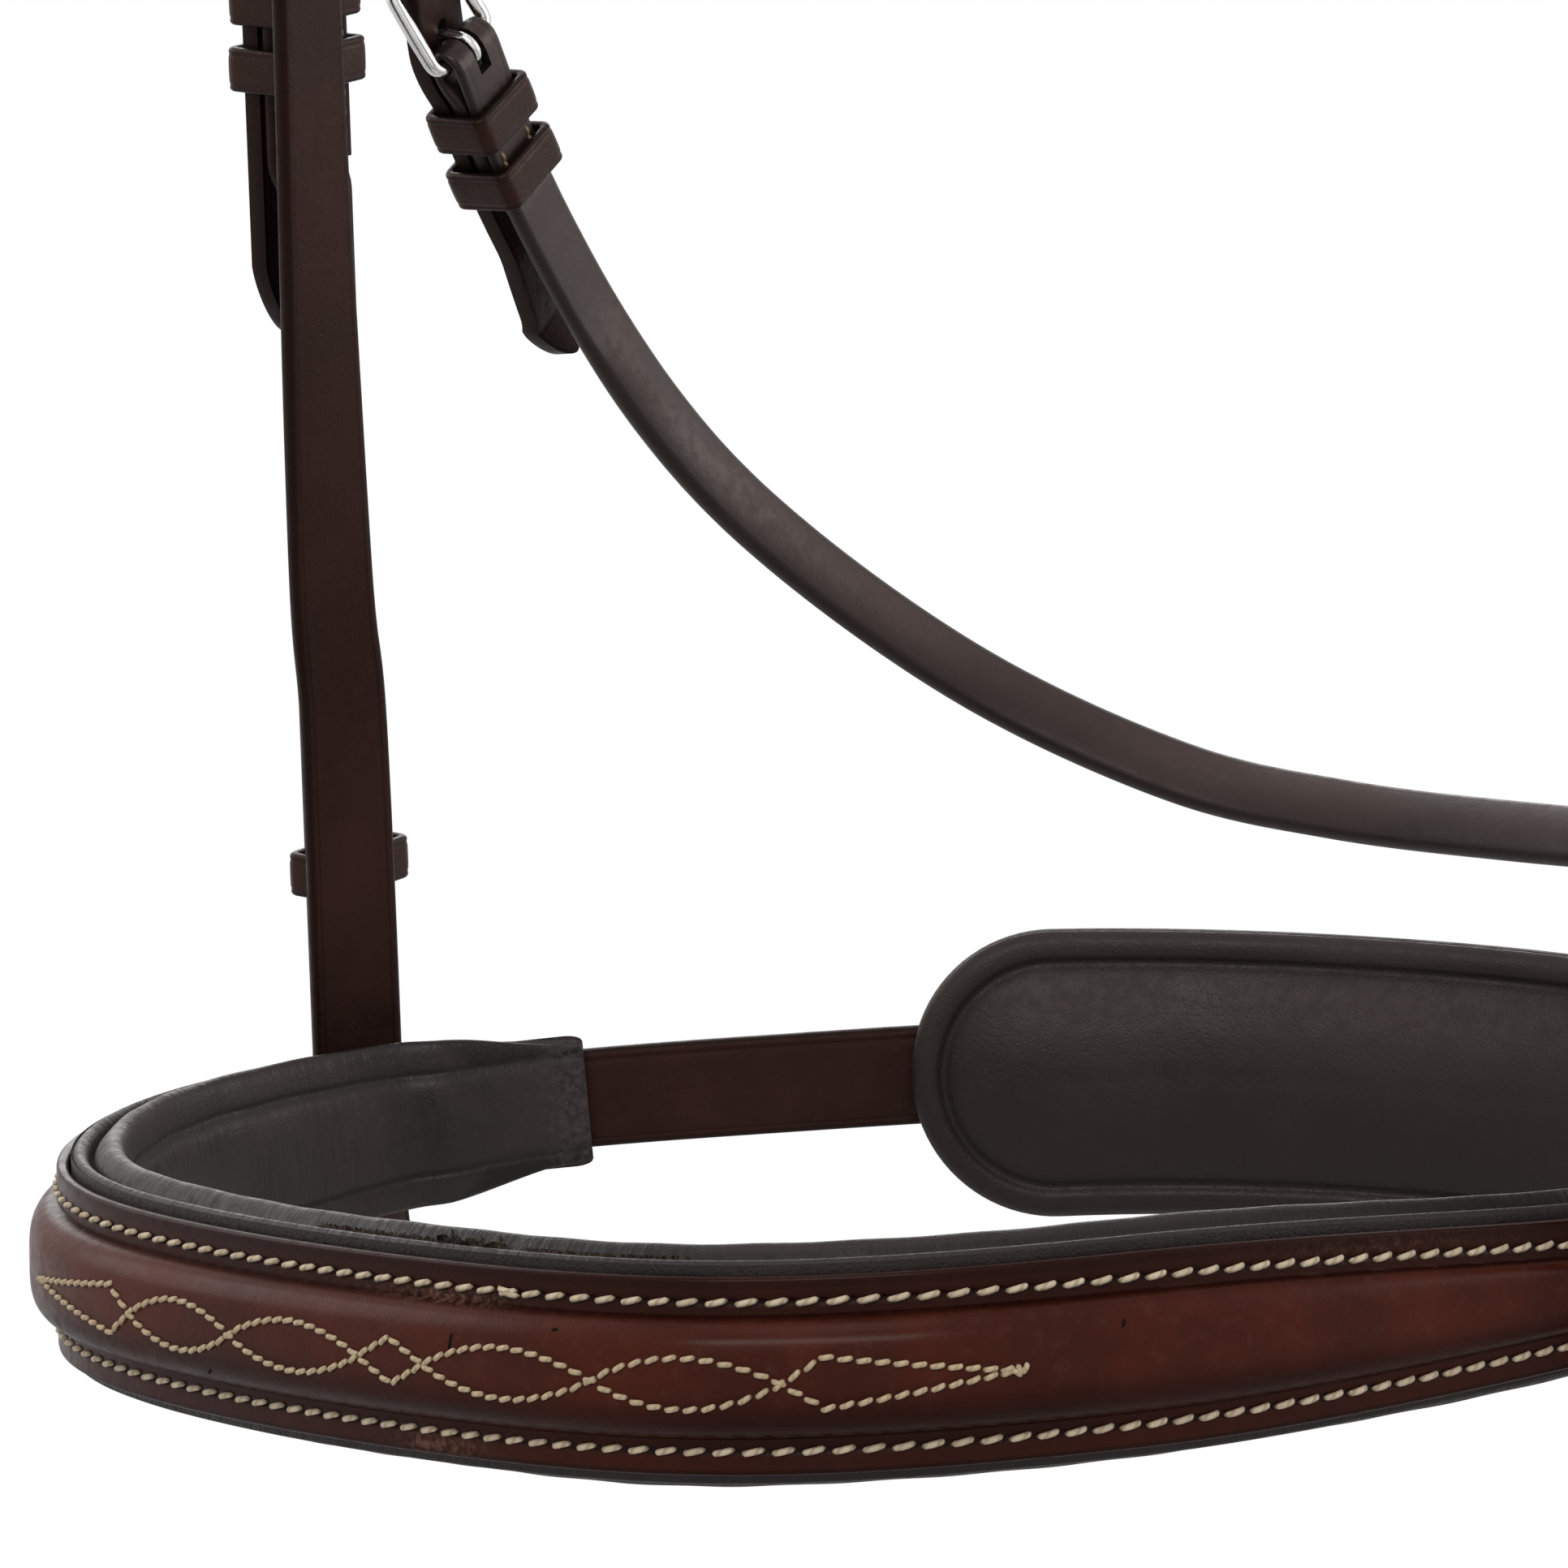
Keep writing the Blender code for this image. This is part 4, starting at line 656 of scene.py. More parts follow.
def leather(name, face, dark, worn, rough, grain, specular=0.24, tint=(1.0, 0.60, 0.50), coat=0.0,
            crease_at=0.0016, edge_dye=True, striations=0.0, holes=None, wax=0.0):
    """Leather: dye varied in clouds, pores and fine grain in the bump, burnished dark edges, a pressed line,
    painted shade at the stitch holes and along their groove, scuffs that are paler and duller, and darker or
    rubbed places where the marks say so: the darker places partly dye and partly painted shade, the rubbed
    places wear."""
    mat, tree, shader = new_material(name)
    place = object_place(tree)

    def mark(key, output="Fac"):
        return wire_up(tree, "ShaderNodeAttribute", attribute_name=key).outputs[output]

    spot, edge, tone, rub = mark("lay", "Vector"), mark("edge"), mark("tone"), mark("rub")
    clouds = noise(tree, place, 34.0, 4.0, 0.6)
    mottle = noise(tree, place, 420.0, 3.0, 0.6)
    fibres = noise(tree, spot, 420.0, 3.0, 0.6, (0.16, 1.0, 1.0))
    colour = blend_colour(tree, spread(tree, clouds, 0.35, 0.68), dark, face)
    colour = blend_colour(tree, spread(tree, mottle, 0.50, 0.80, 0.0, 0.13), colour, worn)
    colour = blend_colour(tree, spread(tree, fibres, 0.54, 0.80, 0.0, 0.45), colour, dark)
    if edge_dye:
        burnished = spread(tree, edge, 0.0004, 0.0013, 0.85, 0.0)
        pressed = maths(tree, "MULTIPLY", spread(tree, edge, crease_at - 0.0004, crease_at, 0.0, 0.55),
                        spread(tree, edge, crease_at, crease_at + 0.0004, 1.0, 0.0))
        tone = maths(tree, "MAXIMUM", tone, maths(tree, "MAXIMUM", burnished, pressed))
    # Painted shade: darker at each stitch hole and along the groove that the stitch row lies in.
    if holes:
        pitch, inset = holes
        along = wire_up(tree, "ShaderNodeSeparateXYZ", {"Vector": spot}).outputs["X"]
        beat = maths(tree, "COSINE", maths(tree, "MULTIPLY", along, 2 * math.pi / pitch))
        away = maths(tree, "ABSOLUTE", maths(tree, "SUBTRACT", edge, inset))
        pit = maths(tree, "MULTIPLY", spread(tree, beat, 0.15, 0.60),
                    spread(tree, away, 0.00045, 0.00085, 1.0, 0.0))
        groove = spread(tree, away, 0.0004, 0.0010, 0.45, 0.0)
        tone = maths(tree, "MAXIMUM", tone, maths(tree, "MAXIMUM", pit, groove))
    # Darker toward near-black where the marks say: dyed edges and flanges, and painted shade.
    colour = blend_colour(tree, tone, colour, tuple(c * 0.22 for c in dark))
    scuffs = noise(tree, place, 60.0, 6.0, 0.72, (1.0, 1.0, 2.2))
    rubbed = maths(tree, "MULTIPLY", rub, spread(tree, noise(tree, place, 900.0, 4.0, 0.7), 0.42, 0.60))
    scuffed = maths(tree, "MAXIMUM", spread(tree, scuffs, 0.62, 0.78, 0.0, 0.07), rubbed)
    colour = blend_colour(tree, scuffed, colour, worn)
    gloss = maths(tree, "ADD", spread(tree, clouds, 0.3, 0.7, rough - 0.04, rough + 0.06),
                  maths(tree, "ADD", maths(tree, "MULTIPLY", scuffed, 0.35),
                        spread(tree, mottle, 0.4, 0.7, 0.0, 0.12)))
    pores = wire_up(tree, "ShaderNodeTexVoronoi", {"Vector": place, "Scale": 1500.0}).outputs["Distance"]
    skin = noise(tree, place, 2600.0, 2.0, 0.5)
    height = maths(tree, "ADD", maths(tree, "MULTIPLY", spread(tree, pores, 0.0, 0.55), 0.6),
                   maths(tree, "MULTIPLY", skin, 0.5))
    below = bump(tree, height, grain, 0.00016)
    waves = noise(tree, place, 120.0, 3.0, 0.5)
    below = bump(tree, maths(tree, "ADD", waves, maths(tree, "MULTIPLY", rubbed, 0.5)), 0.35, 0.0005, below)
    if striations:
        lines = noise(tree, spot, 800.0, 2.0, 0.5, (1.0, 0.10, 0.10))
        below = bump(tree, lines, striations, 0.0006, below)
    feed(tree, shader, {"Base Color": colour, "Roughness": gloss, "Normal": below, "Coat Weight": coat,
                        "Coat Roughness": 0.20, "Specular IOR Level": specular,
                        "Specular Tint": (*tint, 1.0)})
    if wax:
        feed(tree, shader, {"Sheen Weight": wax, "Sheen Roughness": 0.4,
                            "Sheen Tint": (0.75, 0.62, 0.58, 1.0)})
    return mat


def thread_look(name, light, shade):
    """Two-ply waxed thread: slanting plies in colour and bump, with painted shade where the plies meet and at
    the dips where each stitch sinks into the leather.
    """
    mat, tree, shader = new_material(name)
    ply = wire_up(tree, "ShaderNodeAttribute", attribute_name="ply").outputs["Vector"]
    parts = wire_up(tree, "ShaderNodeSeparateXYZ", {"Vector": ply})
    slant = maths(tree, "ADD", maths(tree, "MULTIPLY", parts.outputs["X"], 5.0), parts.outputs["Y"])
    # Painted shade: the colour darkens in the grooves between the plies.
    strand = spread(tree, maths(tree, "SINE", slant), -1.0, -0.1, 0.35, 1.0)
    fluff = noise(tree, object_place(tree), 3000.0, 2.0)
    tone = maths(tree, "MULTIPLY", strand, spread(tree, fluff, 0.3, 0.7, 0.75, 1.0))
    # Painted shade: the ends of each stitch, where it dives into its hole, are darkened.
    dip = spread(tree, maths(tree, "ABSOLUTE", parts.outputs["X"]), 0.72, 1.0)
    colour = blend_colour(tree, tone, shade, light)
    dull = spread(tree, parts.outputs["Z"], 0.0, 1.0, 0.0, 0.55)
    colour = blend_colour(tree, dull, colour, tuple(0.45 * a + 0.55 * b for a, b in zip(light, shade)))
    colour = blend_colour(tree, maths(tree, "MULTIPLY", dip, 0.8), colour, tuple(c * 0.35 for c in shade))
    feed(tree, shader, {"Base Color": colour, "Normal": bump(tree, strand, 0.5, 0.00016), "Roughness": 0.62,
                        "Specular IOR Level": 0.35})
    return mat


def steel_look(name):
    """Polished steel: faint buffing lines and cloudy gloss."""
    mat, tree, shader = new_material(name)
    place = object_place(tree)
    clouds = noise(tree, place, 160.0, 3.0)
    lines = noise(tree, place, 900.0, 2.0, 0.5, (1.0, 1.0, 6.0))
    colour = blend_colour(tree, spread(tree, clouds, 0.35, 0.7), (0.60, 0.59, 0.57), (0.74, 0.73, 0.71))
    rough = maths(tree, "ADD", spread(tree, clouds, 0.3, 0.7, 0.14, 0.22),
                  spread(tree, lines, 0.5, 0.8, 0.0, 0.10))
    feed(tree, shader, {"Base Color": colour, "Roughness": rough, "Normal": bump(tree, lines, 0.12, 0.0001),
                        "Metallic": 1.0})
    return mat


def plain_look(name, colour, rough, shade=None, scale=400.0):
    """Plain finish mottled between a colour and a darker shade of it."""
    mat, tree, shader = new_material(name)
    place = object_place(tree)
    clouds = spread(tree, noise(tree, place, scale, 3.0), 0.35, 0.65)
    mixed = blend_colour(tree, clouds, shade or tuple(c * 0.8 for c in colour), colour)
    feed(tree, shader, {"Base Color": mixed, "Normal": bump(tree, clouds, 0.5, 0.0003), "Roughness": rough,
                        "Specular IOR Level": 0.1})
    return mat


STRAP = leather("strap_leather", (0.0270, 0.0110, 0.0092), (0.0160, 0.0070, 0.0058), (0.048, 0.030, 0.027),
                0.46, 0.30, 0.13)
# Throatlatch leather: lighter than the other straps' as a painted highlight for its lit upper half; the
# strap's marks paint its front half darker as shade.
THROAT = leather("throat_leather", (0.0330, 0.0190, 0.0158), (0.0190, 0.0120, 0.0102), (0.090, 0.070, 0.062),
                 0.40, 0.13, 0.34, (1.0, 0.82, 0.76))
KEEPER = leather("keeper_leather", (0.0200, 0.0068, 0.0054), (0.0090, 0.0036, 0.0030), (0.045, 0.024, 0.019),
                 0.38, 0.28, 0.22, crease_at=0.0010)
RAISED, BROW = (
    leather(name, (0.0620, 0.0120, 0.0056), (0.0370, 0.0074, 0.0040), (0.125, 0.060, 0.042), 0.34, 0.24, 0.07,
            (1.0, 0.62, 0.54), coat=0.08, crease_at=crease_at, holes=holes)
    for name, crease_at, holes in (("raised_leather", 0.0009, (main_pitch, main_inset)),
                                   ("browband_leather", 0.0007, (brow_pitch, brow_inset))))
PADDING = leather("padding_leather", (0.0220, 0.0168, 0.0150), (0.0125, 0.0094, 0.0084),
                  (0.070, 0.060, 0.057), 0.46, 0.45, 0.26, (1.0, 0.92, 0.90), edge_dye=False, striations=0.45,
                  wax=0.03)
PAD_FACE = leather("jaw_pad_leather", (0.0205, 0.0145, 0.0125), (0.0125, 0.0086, 0.0074),
                   (0.046, 0.038, 0.034), 0.46, 0.45, 0.26, (1.0, 0.88, 0.84), edge_dye=False)
THREAD = thread_look("cream_thread", (0.60, 0.50, 0.36), (0.25, 0.175, 0.105))
FINE_THREAD = thread_look("fine_cream_thread", (0.50, 0.39, 0.25), (0.28, 0.195, 0.115))
# Strap seams' thread: the cream thread darkened to the tan it shows in shade on the straps; the darkening is
# painted shade.
SEAM_THREAD = thread_look("seam_thread_painted_shade", (0.30, 0.215, 0.125), (0.12, 0.078, 0.045))
STEEL = steel_look("polished_steel")
HOLE = plain_look("cut_leather", (0.006, 0.004, 0.0035), 0.9)
RAW = plain_look("torn_leather_edge", (0.070, 0.052, 0.040), 0.9, (0.012, 0.009, 0.007), 1600.0)


# Thread

def stitches(name, centres, runs, outs, length, radius, look, lean=0.0, sink=0.5, side=1):
    """Row of stitches: each is a small capsule lying along its run and leaning by an angle, its ends sunk by
    a cube law."""
    centres, runs, outs = (np.asarray(a, float) for a in (centres, runs, outs))
    outs = unit(outs)
    runs = unit(runs - outs * np.sum(runs * outs, 1, keepdims=True))
    sides = np.cross(outs, runs)
    lean = math.radians(lean)
    ahead = runs * math.cos(lean) + sides * math.sin(lean)
    aside = np.cross(outs, ahead)
    u = np.array([-0.97, -0.72, -0.26, 0.26, 0.72, 0.97])
    turn = np.linspace(0.0, 2 * math.pi, 7, endpoint=False)
    fat = radius * (1 - np.abs(u) ** 5) ** 0.5
    lift = -radius * sink * 2.0 * np.abs(u) ** 3
    count, rows, cols = len(centres), len(u), len(turn)
    length = np.broadcast_to(np.asarray(length, float), (count,))
    spine = centres[:, None] + ahead[:, None] * (u[None, :, None] * length[:, None, None] / 2) \
        + outs[:, None] * lift[None, :, None]
    ring = aside[:, None, None] * np.cos(turn)[:, None] + outs[:, None, None] * np.sin(turn)[:, None]
    verts = (spine[:, :, None] + ring * fat[None, :, None, None]).reshape(count, rows * cols, 3)
    verts = np.concatenate([verts, spine[:, [0, -1]]], 1).reshape(-1, 3)
    quads, tris = tube_faces(rows, cols, False)
    shift = (np.arange(count) * (rows * cols + 2))[:, None, None]
    quads, tris = (quads[None] + shift).reshape(-1, 4), (tris[None] + shift).reshape(-1, 3)
    rng = np.random.default_rng(11)
    start, dull = rng.uniform(0, 6.28, count)[:, None], rng.uniform(0, 1, count)[:, None] ** 2
    ply = np.stack(np.broadcast_arrays(u[None, :, None], turn + start[:, None], dull[:, None]), -1)
    end_ply = np.stack(np.broadcast_arrays(np.array([-1.0, 1.0]), start, dull), -1)
    ply = np.concatenate([ply.reshape(count, rows * cols, 3), end_ply], 1).reshape(-1, 3)
    return make_piece(name, "bridle", to_side(verts, side), quads, tris, look,
                      marks={"ply": ply}, sharp=0)


def even_steps(line, pitch, reach=probe):
    """Middles of even steps along a line of places, with the line's run at each, read a reach either way."""
    d = lengths_along(line[:, :3])
    count = int(d[-1] / pitch)
    q = (np.arange(count) + 0.5) * d[-1] / count

    def read(q):
        return np.stack([np.interp(q, d, line[:, k]) for k in range(line.shape[1])], 1)

    return read(q), read(q + reach) - read(q - reach)


def on_face(path, surface, s, w, lift, flip=1.0):
    """Places on a face, with the run along s, the run across w and the outward direction there."""
    def spot(s, w):
        return lay(path, s, surface(s, w) * flip, w)

    ds = (spot(s + probe, w) - spot(s - probe, w)) / (2 * probe)
    dw = (spot(s, w + probe) - spot(s, w - probe)) / (2 * probe)
    out = unit(np.cross(ds, dw))
    out = out * np.sign(np.sum(out * frame_at(path, s)[3] * flip, 1, keepdims=True))
    return spot(s, w) + out * lift, ds, dw, out


def seam(name, path, s_from, s_to, v, w, outward=1.0, pitch=seam_pitch, side=1):
    """Straight run of stitches on a strap's face, at one height and one place across it."""
    count = max(2, int(round(abs(s_to - s_from) / pitch)))
    s = s_from + (s_to - s_from) * (np.arange(count) + 0.5) / count
    _p, t, _w, n = frame_at(path, s)
    return stitches(name, lay(path, s, v, w), t, n * outward, pitch * 0.70, fine_thread, SEAM_THREAD,
                    lean=6.0, side=side)


def cross_seam(name, path, s, v, half, outward=1.0, side=1):
    """Run of stitches straight across a strap."""
    count = max(2, int(round(2 * half / seam_pitch)))
    w = -half + 2 * half * (np.arange(count) + 0.5) / count
    s = np.full(count, s)
    _p, _t, across, n = frame_at(path, s)
    return stitches(name, lay(path, s, v, w), across, n * outward, seam_pitch * 0.70, fine_thread,
                    SEAM_THREAD, side=side)


def closed_seam(name, line):
    """Stitches at even steps along a closed line of places and outward directions."""
    spots, runs = even_steps(line, seam_pitch, seam_pitch * 0.2)
    stitches(name, spots[:, :3], runs[:, :3], spots[:, 3:], seam_pitch * 0.72, fine_thread, SEAM_THREAD)


def seam_pair(name, labels, path, s_from, s_to, v, w, outward=1.0, pitch=seam_pitch, side=1):
    """Two straight seams, the second label's at the mirror image of the first's across the strap."""
    for label, sign in zip(labels, (1, -1)):
        seam("%s_%s" % (name, label), path, s_from, s_to, v, sign * w, outward, pitch, side)


# Nosepiece

def nose_height(s):
    """Half height: full to a length, then eased down to the end's."""
    return nose_half_height + (nose_end_half_height - nose_half_height) * ramp(s, nose_full_to, nose_end)


def nose_lift(s):
    """Gap that the strap ends take between leather and lining."""
    return clearance / 2 + (strap_thick / 2 + clearance / 2) * ramp(s, nose_lift_from, nose_lift_to)


def nose_roll(a):
    """Height of the roll at a length from the middle."""
    crown = nose_crown + (nose_side_crown - nose_crown) * ramp(a, nose_full_to * 0.6, hanger_near_s * 0.9)
    return crown + (nose_end_crown - nose_side_crown) * ramp(a, hanger_far_s, nose_end)


def roll_share(x):
    """Profile of the roll across its width: (1 - x^4)^0.62."""
    return np.clip(1 - np.abs(x) ** 4, 0.0, 1.0) ** 0.62


def fancy_curve(s):
    """Distance of the fancy strands from the middle line: a diamond, two ovals and a kite on each side."""
    a = np.abs(s)
    cross1, cross2, cross3, corner = 0.0066, 0.0350, 0.0600, 0.0655
    out = np.where(a < cross1, 0.0033 * (1 - a / cross1), 0.0)
    for low, high in ((cross1, cross2), (cross2, cross3)):
        x = np.clip((a - low) / (high - low), 0.0, 1.0)
        out = np.where((a >= low) & (a < high), fancy_height * np.sin(math.pi * x) ** 0.85, out)
    out = np.where((a >= cross3) & (a < corner), fancy_height * (a - cross3) / (corner - cross3), out)
    last = fancy_height * (fancy_tip - a) / (fancy_tip - corner)
    return np.where((a >= corner) & (a < fancy_tip), last, out)


def nose_surface(s, w, plain=False):
    """Rise of the leather's face: flange, roll, a groove under each row of stitches with a dent at each hole,
    a shallow groove under the fancy strands and a few creases in the flange."""
    a = np.abs(s)
    half = nose_height(a)
    rise = nose_lift(a) + nose_leather + nose_roll(a) * roll_share(np.abs(w) / (half - nose_flange))
    rise = rise + 0.0001 * np.sin(s * 61.0) * hump(w, 0.0, half)
    if plain:
        return rise
    main_hole, fancy_hole = (0.5 + 0.5 * np.cos(2 * math.pi * s / pitch)
                             for pitch in (main_pitch, fancy_pitch))
    row = hump(np.abs(w), half - main_inset, 0.00055) * (a < nose_end - nose_row_stop)
    strand = hump(np.abs(w), fancy_curve(s), 0.00045) * (a < fancy_tip + 0.0010)
    rise = rise - (0.00012 + 0.00028 * main_hole ** 3) * row - (0.00010 + 0.00010 * fancy_hole) * strand
    puckers = np.sin(s * 2600.0 + 9.0 * np.sin(w * 900.0)) * hump(w, half - 0.0046, 0.0009)
    return rise - 0.00014 * puckers * hump(s, 0.004, 0.020)


def nosepiece_face(ring):
    """Raised leather: rounded edges, flat flanges and a full roll, its face read from nose_surface."""
    s = end_stations(nose_end, nose_row_stop, 620, 16, 1.8)
    a = np.abs(s)
    round_off = np.clip((nose_end - a) / nose_end_round, 0.0, 1.0)
    half = (nose_height(a) * (0.55 + 0.45 * np.sqrt(1 - (1 - round_off) ** 2)))[:, None]
    lift = nose_lift(a)[:, None]
    x = np.concatenate([np.linspace(0.0, 0.50, 15), np.linspace(0.52, 0.97, 28)])
    w = half * np.concatenate([-x[:0:-1], x])[None]
    top = nose_surface(s[:, None], w)
    r = 0.0006
    arc = np.radians(np.linspace(90.0, -60.0, 6))[1:]
    side_w = half - r * 0.6 + (r * np.cos(arc))[None]
    side_v = np.maximum(lift, top[:, -1:] - r + (r * np.sin(arc) - np.linspace(0, r, 5))[None])
    back_w = half * np.linspace(0.96, -0.96, 9)[None]
    across = np.concatenate([w, side_w, back_w, -side_w[:, ::-1]], 1)
    rise = np.concatenate([top, side_v, lift + 0 * back_w, side_v[:, ::-1]], 1)
    edge = np.maximum(half - np.abs(across), 0.0)
    # Darker marks: the flanges dyed dark and the top edge darker still; painted shade in the crease at the
    # foot of the roll and over the lower half of the roll, which faces down; and a faint darker band that
    # comes and goes along the roll beside each crease.
    upper, lower = ramp(across, 0.0, 0.004), ramp(-across, 0.0, 0.006)
    flange = 1.0 - ramp(edge, nose_flange - 0.0009, nose_flange + 0.0006)
    tone = np.maximum.reduce([flange * (0.70 * upper + 0.55 * lower),
                              upper * 0.85 * (1.0 - ramp(edge, 0.0012, 0.0026)),
                              0.90 * hump(edge, nose_flange, 0.00042), 0.70 * lower * (1.0 - flange)])
    ripple = (0.5 + 0.5 * np.sin(s * 150.0))[:, None]
    tone = tone + 0.12 * hump(edge, nose_flange + 0.0022, 0.0007) * ripple
    rub = sum(deep * hump(s, middle, width)[:, None] * hump(edge, inset, spread_over) * zone
              for deep, middle, width, inset, spread_over, zone in (
                  (1.0, 0.006, 0.011, 0.0046, 0.0009, upper), (1.0, 0.004, 0.007, 0.0014, 0.0012, lower),
                  (0.25, 0.150, 0.018, 0.0016, 0.0010, upper)))
    marks = laid(s[:, None], across, rise - lift, edge, tone=np.clip(tone, 0.0, 0.92),
                 rub=np.clip(rub, 0.0, 1.0))
    return ring_piece("nosepiece_face", "bridle", lay(ring, s[:, None], rise, across), RAISED,
                      marks, ("nosepiece_leather",), sharp=55.0)


def on_nose(ring, s, w, lift):
    """Places on the nosepiece's face, without its grooves and dents."""
    return on_face(ring, lambda s, w: nose_surface(s, w, True), s, w, lift)


def main_rows(ring):
    """Upper and lower rows of long slanting stitches, each centred between two holes, a short row at each end
    and the back stitches that lock the rows."""
    last = nose_end - nose_row_stop
    count = int(last / main_pitch)
    s = (np.arange(-count, count) + 0.5) * main_pitch
    for label, way in (("upper", 1.0), ("lower", -1.0)):
        w = way * (nose_height(np.abs(s)) - main_inset)
        p, ds, _dw, out = on_nose(ring, s, w, thread * 0.42)
        stitches("nosepiece_stitches_" + label, p, ds, out, main_pitch * 0.86, thread, THREAD, 12.0, 0.60)
    reach = (nose_end_half_height - main_inset) * 0.62
    for label, way in (("far", -1.0), ("near", 1.0)):
        p, _ds, dw, out = on_nose(ring, np.full(3, way * (last + 0.0045)), np.linspace(-reach, reach, 3),
                                  thread * 0.35)
        stitches("nosepiece_end_stitches_" + label, p, dw, out, main_pitch * 0.74, thread, THREAD, 8.0, 0.60)
    s = np.array([0.0182, 0.0190, -0.1232, -0.1240])
    w = nose_height(np.abs(s)) - main_inset + np.array([0.0003, -0.0002, 0.0002, -0.0003])
    p, ds, _dw, out = on_nose(ring, s, w, thread * 0.75)
    stitches("nosepiece_back_stitches", p, ds, out, main_pitch * 0.80, thread * 0.9, THREAD, -9.0, 0.70)


def fancy_rows(ring):
    """Fine stitches at even steps along the fancy pattern's strands, its knots, and nicks in the leather."""
    s = np.linspace(-fancy_tip, fancy_tip, 4000)
    for label, way in (("over", 1.0), ("under", -1.0)):
        spots, runs = even_steps(np.stack([s, way * fancy_curve(s)], 1), fancy_pitch)
        p, ds, dw, out = on_nose(ring, *spots.T, fancy_thread * 0.45)
        stitches("fancy_stitches_" + label, p, ds * runs[:, :1] + dw * runs[:, 1:], out, fancy_pitch,
                 fancy_thread, FINE_THREAD, 13.0, 0.45)
    knots = ((0.0893, 0.0003, 20.0), (0.0905, -0.0003, -35.0), (0.0916, 0.0002, 60.0), (0.0908, 0.0, 100.0),
             (-0.0905, 0.0, 15.0))
    nicks = ((0.0118, 0.0036, 80.0), (0.0292, 0.0066, 10.0), (-0.0410, -0.0062, 35.0), (0.1060, 0.0051, 70.0))
    for name, places, lift, length, radius, look, sink in (
            ("fancy_knots", knots, fancy_thread * 0.8, 0.0019, fancy_thread, FINE_THREAD, 0.6),
            ("nosepiece_nicks", nicks, 0.00002, (0.0030, 0.0012, 0.0016, 0.0014), 0.00022, HOLE, 0.4)):
        s, w, turned = np.array(places).T
        turned = np.radians(turned)[:, None]
        p, ds, dw, out = on_nose(ring, s, w, lift)
        stitches(name, p, ds * np.cos(turned) + dw * np.sin(turned), out, length, radius, look, sink=sink)


def closed_section(across, rise, per):
    """Section points joined by a closed Catmull-Rom curve, the same weights for every row."""
    count = across.shape[1]
    u = np.linspace(0.0, count, count * per, endpoint=False)
    i = u.astype(int)
    t = u - i
    weights = 0.5 * np.stack([-t + 2 * t ** 2 - t ** 3, 2 - 5 * t ** 2 + 3 * t ** 3,
                              t + 4 * t ** 2 - 3 * t ** 3, -t ** 2 + t ** 3])
    pick = [(i - 1 + k) % count for k in range(4)]
    return tuple(sum(weights[k] * a[:, pick[k]] for k in range(4)) for a in (across, rise))


def padded_section(half, low, depth, rim, rim_depth, swell):
    """Padded lining: a sewn rim, a groove and a full pillow, as (across, rise) points, each a sum of shares
    of the half width, the rim and the swell, and of the rim's depth and the depth left under it."""
    of_half, of_rim, of_swell, of_rim_depth, of_rest = np.array(padded_shares).T
    shape = (len(half), len(of_half))
    half, depth, rim, rim_depth, swell = (np.broadcast_to(a, len(half))[:, None] for a in
                                          (half, depth, rim, rim_depth, swell))
    across = half * of_half + rim * of_rim + swell * of_swell
    rise = -rim_depth * of_rim_depth - (depth - rim_depth) * of_rest
    across = np.concatenate([across, np.zeros((shape[0], 1)), -across[:, ::-1]], 1)
    return across, low[:, None] + np.concatenate([rise, -depth, rise[:, ::-1]], 1)


def nosepiece_padding(ring):
    """Padded lining: the section swells full along the middle and thins to a sewn end, a little dimpled, with
    painted shade in its seam groove and along two lines on its inner face.
    """
    end = nose_end + clearance * 4
    s = end_stations(end, lining_taper, 260, 26, 1.4)
    a = np.abs(s)
    lift = nose_lift(a)
    ease = ramp(end - a, 0.0, lining_taper)
    corner = np.clip((end - a) / lining_corner, 0.0, 1.0)
    half = nose_height(a) * (0.90 + 0.10 * np.sqrt(1 - (1 - corner) ** 2))
    depth = lining_depth + (lining_end_depth - lining_depth) * ramp(a, nose_full_to, nose_end)
    depth = depth * (0.36 + 0.64 * ease)
    across, rise = padded_section(half, -lift, depth, lining_roll * (0.35 + 0.65 * ease),
                                  lining_roll_depth * depth / lining_depth, lining_rise * ease)
    across, rise = closed_section(across, rise, 5)
    half, depth, ease, lift, along = (x[:, None] for x in (half, depth, ease, lift, s))
    turn = np.linspace(0.0, 2 * math.pi, across.shape[1], endpoint=False)[None]
    wave = 0.00016 * np.sin(along * 380.0 + 2.0 * np.sin(turn * 2)) + 0.0002 * np.sin(along * 97.0 + turn)
    deep = np.clip((-lift - rise) / depth - 0.3, 0.0, 1.0) * ease
    across = across * (1 + wave * deep / 0.014)
    rise = rise + wave * deep
    behind, past_edge = -lift - rise, np.abs(across) - half
    # Painted shade: a dark line in the seam groove between rim and pillow, reaching deeper where the torn
    # edge stands out of it, and a dark line near each edge of the pillow's inner face.
    torn = 0.0013 * hump(along, 0.0065, 0.0075)
    torn = torn + 0.0004 * ramp(along, torn_from, -0.024) * (1 - ramp(along, 0.045, torn_to))
    reach = 0.0045 + torn * (1 + 0.35 * np.sin(along * 1500.0))
    gap = ramp(behind, 0.0010, 0.0017) * (1 - ramp(behind, reach, reach + 0.0006))
    gap = gap * ramp(past_edge, -0.002, -0.001)
    inner = ramp(behind / depth, 0.55, 0.70) * hump(past_edge, -0.19 * half, 0.0011)
    rub = 0.35 * ramp(np.abs(along), end - 0.009, end - 0.004) * np.ones_like(across)
    marks = laid(along, across, rise, tone=np.maximum(0.97 * gap, 0.70 * inner), rub=rub)
    obj = ring_piece("nosepiece_padding", "bridle", lay(ring, along, rise, across), PADDING,
                     marks, ("nosepiece_lining",), sharp=60.0)


